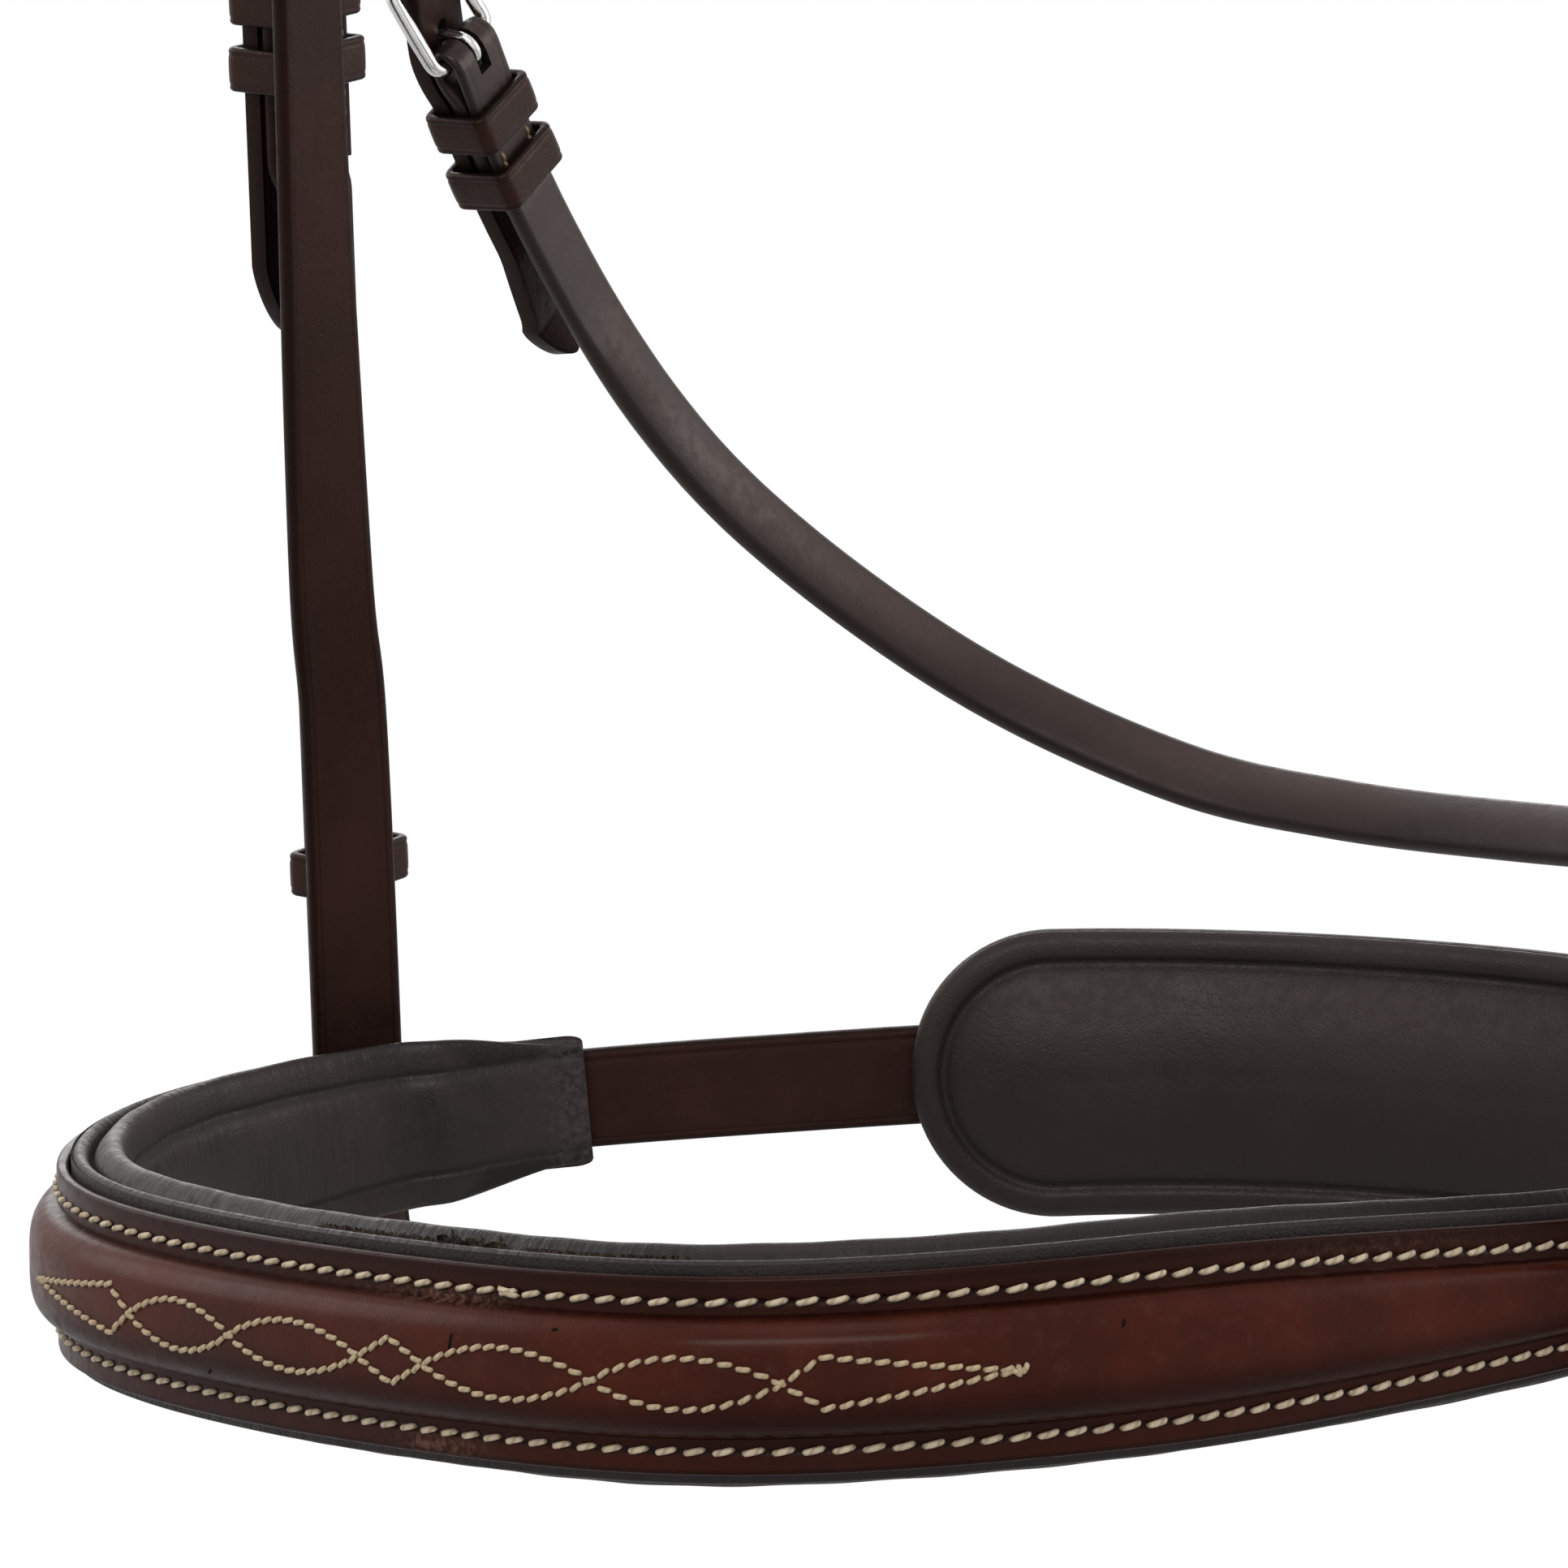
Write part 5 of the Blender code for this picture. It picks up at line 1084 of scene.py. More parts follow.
def torn_edge(ring):
    """Skived leather edge standing ragged out of the seam: a thin ribbon, its top a sum of waves and teeth.
    High and slanting in the middle of its length, a low ragged line before it, a neat narrow lip after it."""
    s = np.linspace(torn_from, torn_to, 620)
    a = np.abs(s)
    base_w = nose_height(a) + lining_roll * 0.66
    base_v = -nose_lift(a) - lining_roll_depth * 1.10
    fade = ramp(s, torn_from, -0.024) * (1 - ramp(s, 0.0455, torn_to))
    torn = ramp(s, -0.0005, 0.0015) * (1 - ramp(s, 0.0125, 0.0155))
    before, after = 1 - ramp(s, -0.001, 0.001), ramp(s, 0.0150, 0.0185)
    slant = np.mod(s * 420.0 + 0.35 * np.sin(s * 1900.0), 1.0)
    flakes = (1 - slant) ** 0.7 * (0.75 + 0.25 * np.sin(s * 700.0))
    ragged = 0.5 + 0.3 * np.sin(s * 4100.0 + 4.0 * np.sin(s * 800.0)) + 0.2 * np.sin(s * 9300.0)
    height = fade * (torn * (0.0008 + 0.0019 * flakes) + before * (0.00065 + 0.00060 * ragged)
                     + after * (0.00085 + 0.00014 * ragged))
    lean = fade * (torn * (0.0006 + 0.0009 * np.sin(s * 1300.0)) + before * 0.0003 * ragged + after * 0.0002)
    thick = 0.00018
    foot, knee = base_w - 0.0012, base_w + height * 0.6
    across = np.stack([foot, knee, base_w + height, knee, foot], 1)
    rise = np.stack([base_v + thick, base_v + thick + lean * 0.4, base_v + lean, base_v - thick + lean * 0.4,
                     base_v - thick], 1)
    ring_piece("lining_torn_edge", "bridle", lay(ring, s[:, None], rise, across), RAW,
               laid(s[:, None], across, rise), sharp=30.0)


# Jaw pad

def pad_outline(radius, arc_count, side_count):
    """Outline for each radius of a column: two half circles and two straights, drawn in at the waist."""
    straight = pad_half_length - pad_half_height
    turn = np.radians(np.linspace(-90.0, 90.0, arc_count))[None]
    run = np.linspace(straight, -straight, side_count)[1:-1][None] * np.ones_like(radius)
    x = np.concatenate([straight + radius * np.cos(turn), run, -straight - radius * np.cos(turn), -run], 1)
    y = np.concatenate([radius * np.sin(turn), radius + 0 * run, -radius * np.sin(turn), 0 * run - radius], 1)
    return x, y * (1 - pad_waist / pad_half_height * np.cos(x / pad_half_length * math.pi / 2))


def cushion(name, path, s_mid, levels, look, stands_for, dimples=0.0, shade=None):
    """Nested outlines at rising insets, lofted, with both end faces zipped shut from side to side; where a
    shade inset is given, painted shade darkens the channel there and the lower half.
    """
    quarter = 22
    inset, rise = levels[:, :1], levels[:, 1:]
    x, y = pad_outline(np.maximum(pad_half_height - inset, 0.00002), 2 * quarter, 42)
    deep = ramp(inset, pad_channel_inset * 1.1, 0.011)
    v = rise + dimples * deep * (np.sin(x * 170.0 + y * 90.0) * 0.5 + np.sin(x * 61.0 - y * 140.0) * 0.5)
    marks = laid(x, y, v, inset)
    if shade:
        # Painted shade along the channel and over the lower half, which faces down.
        marks["tone"] = np.maximum(0.62 * hump(marks["edge"], shade, 0.0020), 0.45 * ramp(-y, -0.012, 0.018))
    rows, cols = x.shape
    half_run = cols // 2 - 2 * quarter
    upper = np.arange(quarter, 3 * quarter + half_run)
    lower = np.r_[np.arange(quarter)[::-1], np.arange(3 * quarter + half_run, cols)[::-1]]
    zipped = np.stack([upper[:-1], upper[1:], lower[1:], lower[:-1]], 1)
    quads = np.vstack([tube_faces(rows, cols, False)[0], zipped, zipped[:, ::-1] + (rows - 1) * cols])
    marks = {key: value.reshape((rows * cols,) + value.shape[2:]) for key, value in marks.items()}
    return make_piece(name, "bridle", lay(path, s_mid + x, v, y).reshape(-1, 3), quads, (), look,
                      stands_for, marks, 45.0)


def jaw_pad(ring):
    """Backing, padded cushion with rim and channel, two bridges over the strap, and the backing's seam."""
    mid = -pad_far_end - pad_half_length
    back = -strap_thick / 2 - clearance
    seam_v = back - pad_backing
    top = seam_v - clearance
    ch, deep = pad_channel_inset, pad_cushion_depth
    r = 0.0005
    levels = [(pad_half_height, back), (0.0100, back), (r * 3, back), (r, back), (r * 0.3, back - r * 0.3),
              (0.0, back - r), (0.0, seam_v + r), (r * 0.3, seam_v + r * 0.3), (r, seam_v), (0.0100, seam_v),
              (pad_half_height, seam_v)]
    cushion("jaw_backing", ring, mid, np.array(levels), STRAP, ("jaw_pad_backing",))
    levels = [(0.0005, top), (0.0, top - deep * 0.08), (0.0, top - deep * 0.22),
              (ch * 0.25, top - deep * 0.40), (ch * 0.66, top - deep * 0.43),
              (ch * 0.95, top - deep * 0.38 + pad_channel_depth * 0.5), (ch * 1.25, top - deep * 0.45),
              (ch * 1.7, top - deep * 0.62), (ch * 2.3, top - deep * 0.78), (ch * 3.1, top - deep * 0.95),
              (ch * 3.9, top - deep * 1.030), (pad_half_height, top - deep * 1.032)]
    pad = cushion("jaw_cushion", ring, mid, open_curve(levels, 70), PAD_FACE,
                  ("jaw_pad_cushion",), 0.00020, ch)
    half = rear_width / 2 + clearance + keeper_thick / 2
    high = strap_thick / 2 + clearance + keeper_thick / 2
    foot = back + clearance + keeper_thick / 2
    for label, way in (("far", 1), ("near", -1)):
        pts = [(half + pad_loop_foot, foot), (half + pad_loop_foot * 0.4, foot),
               (half, foot + keeper_thick / 2), (half - keeper_thick * 0.3, high)]
        pts = np.array([(w + keeper_thick, v) for w, v in pts])
        pts = np.vstack([pts * (-1.0, 1.0), [[0.0, high]], pts[::-1]])
        s = mid + way * (pad_half_length - pad_loop_inset)
        band("jaw_loop_" + label, ring, s, pad_loop_length, open_curve(pts, 9 * len(pts) - 8), False,
             stands_for=("jaw_pad_loop_" + label,))
        reach, span = half + keeper_thick + pad_loop_foot * 0.55, pad_loop_length * 0.42
        for edge_label, sign in (("upper", 1), ("lower", -1)):
            seam("jaw_loop_%s_%s_stitches" % (label, edge_label), ring, s - span, s + span,
                 foot + keeper_thick / 2 + 0.0002, sign * reach)
    x, y = (a[0] for a in pad_outline(np.array([[pad_half_height - 0.0026]]), 60, 90))
    x, y = np.r_[x, x[0]], np.r_[y, y[0]]
    line = np.hstack([lay(ring, mid + x, back + 0.00015 + 0 * x, y), frame_at(ring, mid + x)[3]])
    closed_seam("jaw_backing_stitches", line)


# Keepers and buckles

def band(name, path, s, length, points, closed, side=1, body="bridle", stands_for=()):
    """Leather band bent along (across, out) points at one length: the strap section carried round them."""
    p, t, w, n = (a[0] for a in frame_at(path, np.array([s])))
    mid = p + w * points[:, :1] + n * points[:, 1:2]
    run = unit(np.roll(mid, -1, 0) - np.roll(mid, 1, 0) if closed else np.gradient(mid, axis=0))
    out = unit(np.cross(run, t))
    if np.sum(out * (mid - mid.mean(0))) < 0:
        out = -out
    shape = strap_shape(length / 2, keeper_thick, 0.00010, 0.00012, 0.0011)
    rings = mid[:, None] + t * shape[None, :, :1] + out[:, None] * shape[None, :, 1:2]
    marks = laid(lengths_along(mid)[:, None], shape[:, 0], shape[:, 1], length / 2 - np.abs(shape[:, 0]))
    return ring_piece(name, body, rings, KEEPER, marks, stands_for, closed, side)


def corner_line(corners, count, gap):
    """Closed line round quarter turns (middle, radius and first angle), its straights filled at a gap."""
    arcs = []
    for x, y, radius, first in corners:
        a = np.radians(np.linspace(first, first + 90.0, count))
        arcs.append(np.stack([x + radius * np.cos(a), y + radius * np.sin(a)], 1))
    line = np.vstack(arcs)
    full = []
    for here, following in zip(line, np.roll(line, -1, 0)):
        steps = max(1, int(np.linalg.norm(following - here) / gap))
        full.append(here + (following - here) * (np.arange(steps) / steps)[:, None])
    return np.vstack(full)


def keeper(name, path, s, low, high, half, side=1, slack=clearance, body="bridle"):
    """Keeper round a stack of straps: a rounded oblong of leather band."""
    r = keeper_corner
    reach = half + slack + keeper_thick / 2 - r
    bottom, top = low - slack - keeper_thick / 2 + r, high + slack + keeper_thick / 2 - r
    line = corner_line(((reach, top, r, 0.0), (-reach, top, r, 90.0), (-reach, bottom, r, 180.0),
                        (reach, bottom, r, 270.0)), 7, 0.0012)
    return band(name, path, s, keeper_length, line, True, side, body, stands_for=(name,))


def wire_piece(name, points, radius, closed, side, body, taper=1.0):
    """Round wire bent through points: rings square to the run, narrowed by the taper."""
    run = unit(np.roll(points, -1, 0) - np.roll(points, 1, 0) if closed else np.gradient(points, axis=0))
    third = len(points) // 3
    flat = unit(np.cross(points[third] - points[0], points[2 * third] - points[0]))
    aside = unit(flat - run * np.sum(run * flat, axis=1, keepdims=True))
    up = np.cross(run, aside)
    turn = np.linspace(0.0, 2 * math.pi, 16, endpoint=False)
    ring = aside[:, None] * np.cos(turn)[None, :, None] + up[:, None] * np.sin(turn)[None, :, None]
    size = radius * (np.ones(len(points)) * taper)
    rings = points[:, None] + ring * size[:, None, None]
    return ring_piece(name + "_bright", body, rings, STEEL, {}, (name,), closed, side, sharp=50.0)


def bar_rise():
    """Rise of the heel bar over the strap's inner face."""
    return fold_thick + clearance + wire


def frame_rise(along):
    """Rise of the frame, straight from the bar's to the front bar's."""
    return bar_rise() + (front_rise - bar_rise()) * np.asarray(along, float) / buckle_length


def billet_rises(thick):
    """Rises of a billet's middle under the front bar, over the fold and under the keepers."""
    under = front_rise - wire - 2 * clearance - thick / 2
    over = bar_rise() + wire + clearance + fold_thick + clearance + thick / 2
    held = thick + clearance + fold_thick + clearance + thick / 2
    return under, over, held


def buckle_frame(name, path, s0, way, base, half, side):
    """Wire frame: straight bars with rounded corners, rising toward the front bar."""
    reach = half + buckle_side_gap + wire
    far, near = buckle_length - front_corner, heel_corner
    line = corner_line(((far, front_corner - reach, front_corner, 270.0),
                        (far, reach - front_corner, front_corner, 0.0),
                        (near, reach - heel_corner, heel_corner, 90.0),
                        (near, heel_corner - reach, heel_corner, 180.0)), 9, 0.0018)
    points = lay(path, s0 + way * line[:, 0], base + frame_rise(line[:, 0]), line[:, 1])
    wire_piece(name, points, wire, True, side, "bridle")


def buckle_tongue(name, path, s0, way, base, thick, side, body):
    """Tongue: wrapped round the bar, up through the billet and down onto the front bar, a little pointed."""
    loop = wire + tongue_wire + clearance
    over = billet_rises(thick)[1] + thick / 2
    rest = front_rise + wire + tongue_wire + clearance
    turns = np.radians(np.linspace(100.0, 360.0, 10))
    line = [(loop * math.cos(a), bar_rise() + loop * math.sin(a)) for a in turns]
    line += [(buckle_length * along, over * up) for along, up in tongue_shares]
    line.append((buckle_length + tongue_over, rest))
    line = open_curve(line, 90)
    points = lay(path, s0 + way * line[:, 0], base + line[:, 1], np.zeros(len(line)))
    taper = 1.0 - 0.28 * ramp(np.arange(90), 60, 88)
    taper[-1] = 0.35
    wire_piece(name, points, tongue_wire, False, side, body, taper)


def even_rows(line, thick, half):
    """Rows of a strap that keeps its thickness and width along a line of (s, v)."""
    return [(s, v, thick, half) for s, v in line]


def fold_rows(s0, way, base, half, thick, fold_back):
    """Strap end folded inward round the buckle bar, main strap first, as (s, v, thickness, half width)."""
    turn = wire + clearance + fold_thick / 2
    raised = base + fold_thick + clearance + thick / 2
    bar = base + bar_rise()
    rows = [(-fold_back - 2 * fold_thick, base + thick / 2, thick),
            (-fold_back - 2 * clearance, raised, thick), (-3.0 * turn, raised, thick),
            (-1.7 * turn, bar + turn * 0.85, fold_thick)]
    rows += [(turn * math.cos(a), bar + turn * math.sin(a), fold_thick)
             for a in np.radians(np.linspace(90.0, -90.0, 13))]
    rows.append((-fold_back, base + fold_thick / 2, fold_thick))
    return [(s0 + way * d, v, t, half) for d, v, t in rows]


def billet_rows(s0, way, base, half, thick, tip, ride=0.0, play=0.0):
    """Billet from the front bar over the heel bar to where its point begins."""
    settled = fixed_keeper_at - keeper_length / 2 - 2 * clearance
    passed = runner_at + keeper_length / 2 + play
    ridden = passed + keeper_length / 2 + play
    under, over, held = billet_rises(thick)
    rows = [(buckle_length, under), (buckle_length / 2, (under + over) / 2), (0.0, over),
            (-settled * 0.55, over * 0.75 + held * 0.25), (-settled, held),
            (-passed, held), (-ridden, held + ride * 0.8), (-tip + half * point_share, held + ride)]
    return even_rows([(s0 + way * d, base + rise) for d, rise in rows], thick, half)


def fold_seams(label, path, s0, way, base, half, fold_back, side=1):
    """Two rows along a folded end and one across it, on the inner face."""
    a, b = s0 - way * (fixed_keeper_at + keeper_length * 0.7), s0 - way * (fold_back - 0.0022)
    seam_pair(label + "_fold_stitches", ("front", "rear"), path, a, b, base - seam_sink, half - seam_inset,
              -1.0, side=side)
    cross_seam(label + "_fold_stitches_end", path, b, base - seam_sink, half - end_seam_inset, -1.0, side)


def buckle_set(label, path, s0, way, base, half, thick, side=1, slack=clearance):
    """Frame, tongue, fixed keeper and runner of one buckle."""
    buckle_frame(label + "_buckle_frame", path, s0, way, base, half, side)
    buckle_tongue(label + "_buckle_tongue", path, s0, way, base, thick, side, label + "_tongue")
    top = base + billet_rises(thick)[2] + thick / 2
    keeper(label + "_fixed_keeper", path, s0 - way * fixed_keeper_at, base, top, half, side, slack)
    keeper(label + "_runner", path, s0 - way * runner_at, base, top, half, side, slack + clearance,
           label + "_loop")


# Punched holes

def outline_slot(a, b, width):
    """Long hole with half-round ends between two lengths, as (length, across)."""
    low, high = min(a, b) + width / 2, max(a, b) - width / 2
    turn = np.radians(np.linspace(-90.0, 90.0, 11))
    right = np.stack([high + width / 2 * np.cos(turn), width / 2 * np.sin(turn)], 1)
    left = np.stack([low - width / 2 * np.cos(turn), -width / 2 * np.sin(turn)], 1)
    return np.vstack([right, left])


def outline_hole(s, width):
    """Round hole as (length, across)."""
    turn = np.linspace(0.0, 2 * math.pi, 20, endpoint=False)
    return np.stack([s + width / 2 * np.cos(turn), width / 2 * np.sin(turn)], 1)


def prism(path, outline, low, high, side):
    """Straight-sided cutter from an outline, along the outward direction, faces turned outward."""
    layers = [lay(path, outline[:, 0], v, outline[:, 1]) for v in (low, high)]
    verts = to_side(with_ends(np.stack(layers), False), side)
    return verts, *face_out(verts, *tube_faces(2, len(outline), False))


def punch(obj, cutters):
    """Cutters joined and taken out of a piece, with the result kept as its mesh."""
    verts, faces, shift = [], [], 0
    for v, q, t in cutters:
        verts.append(v)
        faces += (q + shift).tolist() + (t + shift).tolist()
        shift += len(v)
    mesh = bpy.data.meshes.new("punch")
    mesh.from_pydata(np.vstack(verts).tolist(), [], faces)
    mesh.materials.append(HOLE)
    tool = link(bpy.data.objects.new("punch", mesh))
    mod = obj.modifiers.new("punch", "BOOLEAN")
    mod.operation, mod.solver, mod.object = "DIFFERENCE", "EXACT", tool
    mod.material_mode = "TRANSFER"
    deps = bpy.context.evaluated_depsgraph_get()
    cut = bpy.data.meshes.new_from_object(obj.evaluated_get(deps), preserve_all_data_layers=True,
                                          depsgraph=deps)
    old = obj.data
    obj.modifiers.clear()
    obj.data = cut
    bpy.data.meshes.remove(old)
    bpy.data.objects.remove(tool)
    bpy.data.meshes.remove(mesh)


def billet_holes(path, s0, way, base, side, beyond):
    """Long hole in use at the tongue, and the spare ones toward the point."""
    low, high = base - 0.005, base + front_rise + 0.010
    width = 2 * (tongue_wire + clearance)
    used = outline_slot(s0 + way * billet_slot_from, s0 + way * billet_slot_to, width)
    cutters = [prism(path, used, low, high, side)]
    for k in range(1, beyond + 1):
        where = s0 - way * (fixed_keeper_at + hole_pitch * k + hole_size)
        cutters.append(prism(path, outline_hole(where, hole_size * 0.9), low, high, side))
    return cutters


def fold_slot(path, s0, way, base, side):
    """Opening in a fold that lets the tongue turn."""
    a, b = s0 - way * fold_slot_back, s0 + way * 0.010
    half = tongue_wire + 2 * clearance
    low, high = min(a, b), max(a, b)
    outline = np.array([(high, -half), (high, half), (low, half), (low, -half)])
    return prism(path, outline, base - 0.010, base + front_rise + 0.010, side)


# Straps

def cheekpiece(path, s0, side, label):
    """Cheekpiece: buckle fold, strap, round bit end and the turned-up layer inside it."""
    half = cheek_width / 2
    turned = strap_thick + clearance
    loop = (bit_gap + strap_thick) / 2
    loop_mid = (strap_thick - turned) / 2
    bottom = cheek_s(path, bit_loop_height) - loop - strap_thick / 2
    neck = bottom - bit_loop_taper
    inner = -clearance - strap_thick / 2
    open_shares = ((0.45, 0.18), (0.8, 0.62))
    line = [(neck, strap_thick / 2)]
    line += [(neck + bit_loop_taper * share, strap_thick / 2 + (loop - turned / 2) * rise)
             for share, rise in open_shares]
    line += [(bottom + loop * math.cos(a), loop_mid + loop * math.sin(a))
             for a in np.radians(np.linspace(90.0, -90.0, 19))]
    line += [(neck + bit_loop_taper * share, inner - (loop - turned / 2) * rise)
             for share, rise in open_shares[::-1]]
    line += [(neck, inner), (cheek_s(path, turn_up_tip) + half * point_share, inner)]
    rows = fold_rows(s0, -1, 0.0, half, strap_thick, cheek_fold)[::-1] + even_rows(line, strap_thick, half)
    name = "cheekpiece_" + label
    obj = strap(name, path, rows, STRAP, side, tip=half * point_share, stands_for=("cheek_strap_" + label,))
    stud_s = cheek_s(path, stud_height)
    slot = outline_slot(stud_s - 0.0050, stud_s + 0.0050, 0.0042)
    punch(obj, [fold_slot(path, s0, -1, 0.0, side), prism(path, slot, -0.0090, -0.00015, side)])
    fold_seams(name, path, s0, -1, 0.0, half, cheek_fold, side)
    buckle_set("cheek_" + label, path, s0, -1, 0.0, half, strap_thick, side)
    for part, height in (("low_keeper", low_keeper_height), ("loop_keeper", loop_keeper_height)):
        keeper("cheek_%s_%s" % (label, part), path, cheek_s(path, height), -turned, strap_thick, half, side)
    hook_stud("hook_stud_" + label, path, stud_s, side)


def hook_stud(name, path, s, side):
    """Hook stud turned about its shank: domed rivet head outside, shank, and a lifted button inside."""
    head, rise = stud_head_thick, -stud_button_rise
    front, back = strap_thick + clearance, -strap_thick - 3 * clearance
    rings = [(0.0005, front + head * 1.02, 0.0), (stud_head * 0.55, front + head * 0.95, 0.0),
             (stud_head * 0.86, front + head * 0.70, 0.0), (stud_head, front + head * 0.35, 0.0),
             (stud_head, front, 0.0), (stud_shank, front, 0.0), (stud_shank, back, 0.0),
             (stud_button * 0.8, back, rise * 0.3), (stud_button, back - head * 0.3, rise * 0.6),
             (stud_button * 0.92, back - head * 0.75, rise), (stud_button * 0.55, back - head, rise),
             (0.0003, back - head, rise)]
    turn = np.linspace(0.0, 2 * math.pi, 30, endpoint=False)
    out = [lay(path, s + shift + r * np.cos(turn), v, r * np.sin(turn)) for r, v, shift in rings]
    return ring_piece(name + "_bright", "bridle", np.array(out), STEEL, {}, (name,), side=side,
                      sharp=40.0)


def throatlatch(path, s0):
    """Throatlatch strap with a fold and a buckle at each end."""
    half = throat_width / 2
    near = fold_rows(s0, 1, 0.0, half, strap_thick, throat_fold)
    far = [(-s, v, t, h) for s, v, t, h in near][::-1]
    obj = strap("throatlatch", path, far + near, THROAT, pitch=0.0013, stands_for=("throat_strap",),
                rolled=(s0 - throat_fold - 0.044, s0 - throat_fold - 0.028))
    punch(obj, [fold_slot(path, s0, 1, 0.0, 1), fold_slot(path, -s0, -1, 0.0, 1)])
    for label, at, way in (("left", s0, 1), ("right", -s0, -1)):
        fold_seams("throat_" + label, path, at, way, 0.0, half, throat_fold)
        buckle_set("throat_" + label, path, at, way, 0.0, half, strap_thick)


def rear_straps(ring):
    """Plain rear strap with its point, and the short end that holds the noseband's buckle."""
    half, s0, base = rear_width / 2, rear_bar, -strap_thick / 2
    rows = even_rows([(ring["length"] - rear_start, 0.0), (s0 + 2 * buckle_length, 0.0)], strap_thick, half)
    rows += billet_rows(s0, 1, base, half, strap_thick, rear_tip, rear_tip_ride)
    obj = strap("rear_strap", ring, rows, STRAP, tip=half * point_share, stands_for=("noseband_rear_strap",))
    punch(obj, billet_holes(ring, s0, 1, base, 1, 0))
    rows = even_rows([(rear_start, 0.0)], strap_thick, half)
    rows += fold_rows(s0, 1, base, half, strap_thick, rear_fold)
    chape = strap("noseband_chape", ring, rows, STRAP, pitch=0.0008, stands_for=("noseband_near_chape",))
    punch(chape, [fold_slot(ring, s0, 1, base, 1)])
    seam_pair("noseband_chape_stitches", ("upper", "lower"), ring, s0 - rear_fold + 0.001,
              rear_start + rear_seam_past, base - seam_sink, half - seam_inset, -1.0)
    buckle_set("noseband", ring, s0, 1, base, half, strap_thick, 1, clearance * 1.5)


def hanger(path):
    """Hanger strap over the poll with both feet sewn to the nosepiece, and the short buckle end."""
    half, mid = hanger_width / 2, hanger_thick / 2
    s0, point = hanger_s(path, hanger_bar_height), half * hanger_foot_share
    foot, end = float(path["s"][0]), float(path["s"][-1])
    rows = even_rows([(foot + point, mid), (s0 - buckle_length * 1.6, mid)], hanger_thick, half)
    rows += billet_rows(s0, -1, 0.0, half, hanger_thick, hanger_tip)
    obj = strap("hanger_strap", path, rows, STRAP, pitch=0.0014, tip=half * point_share, start_tip=point,
                stands_for=("noseband_hanger",))
    punch(obj, billet_holes(path, s0, -1, 0.0, 1, 1))
    rows = even_rows([(end - point, mid)], hanger_thick, half)
    rows += fold_rows(s0, -1, 0.0, half, hanger_thick, hanger_fold)
    chape = strap("hanger_chape", path, rows, STRAP, start_tip=point, stands_for=("hanger_near_chape",))
    punch(chape, [fold_slot(path, s0, -1, 0.0, 1)])
    fold_seams("hanger_chape", path, s0, -1, 0.0, half, hanger_fold)
    top = hanger_thick + seam_rise
    for label, at, way in (("far", foot, 1.0), ("near", end, -1.0)):
        name = "hanger_foot_%s_stitches" % label
        seam_pair(name, ("front", "rear"), path, at + way * foot_seam_from, at + way * foot_seam_to, top,
                  half - seam_inset)
        cross_seam(name + "_end", path, at + way * foot_seam_end, top, half * 0.45)
    buckle_set("hanger", path, s0, -1, 0.0, half, hanger_thick)


# Headpiece and crown

def billet_side(path, rows, first, first_half, count):
    """One billet: eased from the split onto its route by a Hermite curve, then down its rows to the point."""
    rows = fair(rows, 0.0012)
    rows = np.vstack([rows, point_rows(rows, rows[-1, 3] * point_share, 1.3)])
    p, _t, w, n = frame_at(path, rows[:, 0])
    mid = p + n * rows[:, 1:2]
    w = np.where(w[:, 1:2] < 0, -w, w)
    reach = np.linalg.norm(mid[0] - first)
    t = np.linspace(0.0, 1.0, 16)[:-1, None]
    start, finish = np.array([0.0, 0.0, -1.0]) * reach, unit(mid[1] - mid[0]) * reach
    ease = (2 * t ** 3 - 3 * t ** 2 + 1) * first + (t ** 3 - 2 * t ** 2 + t) * start \
        + (3 * t ** 2 - 2 * t ** 3) * mid[0] + (t ** 3 - t ** 2) * finish
    share = 3 * t ** 2 - 2 * t ** 3
    across = np.vstack([unit(np.array([0.0, 1.0, 0.0]) * (1 - share) + w[0] * share), w])
    mid = np.vstack([ease, mid])
    half = np.concatenate([first_half * (1 - share[:, 0]) + rows[0, 3] * share[:, 0], rows[:, 3]])
    run = np.gradient(mid, axis=0)
    run[0] = (0.0, 0.0, -1.0)
    out = unit(np.cross(across, run))
    out = np.where(out[:, :1] < 0, -out, out)
    u = np.linspace(-1.0, 1.0, count)
    pos = mid[:, None] + across[:, None] * (half[:, None] * u[None])[..., None]
    edge = half[:, None] * (1 - np.abs(u))[None]
    return pos, np.repeat(out[:, None], count, 1), edge


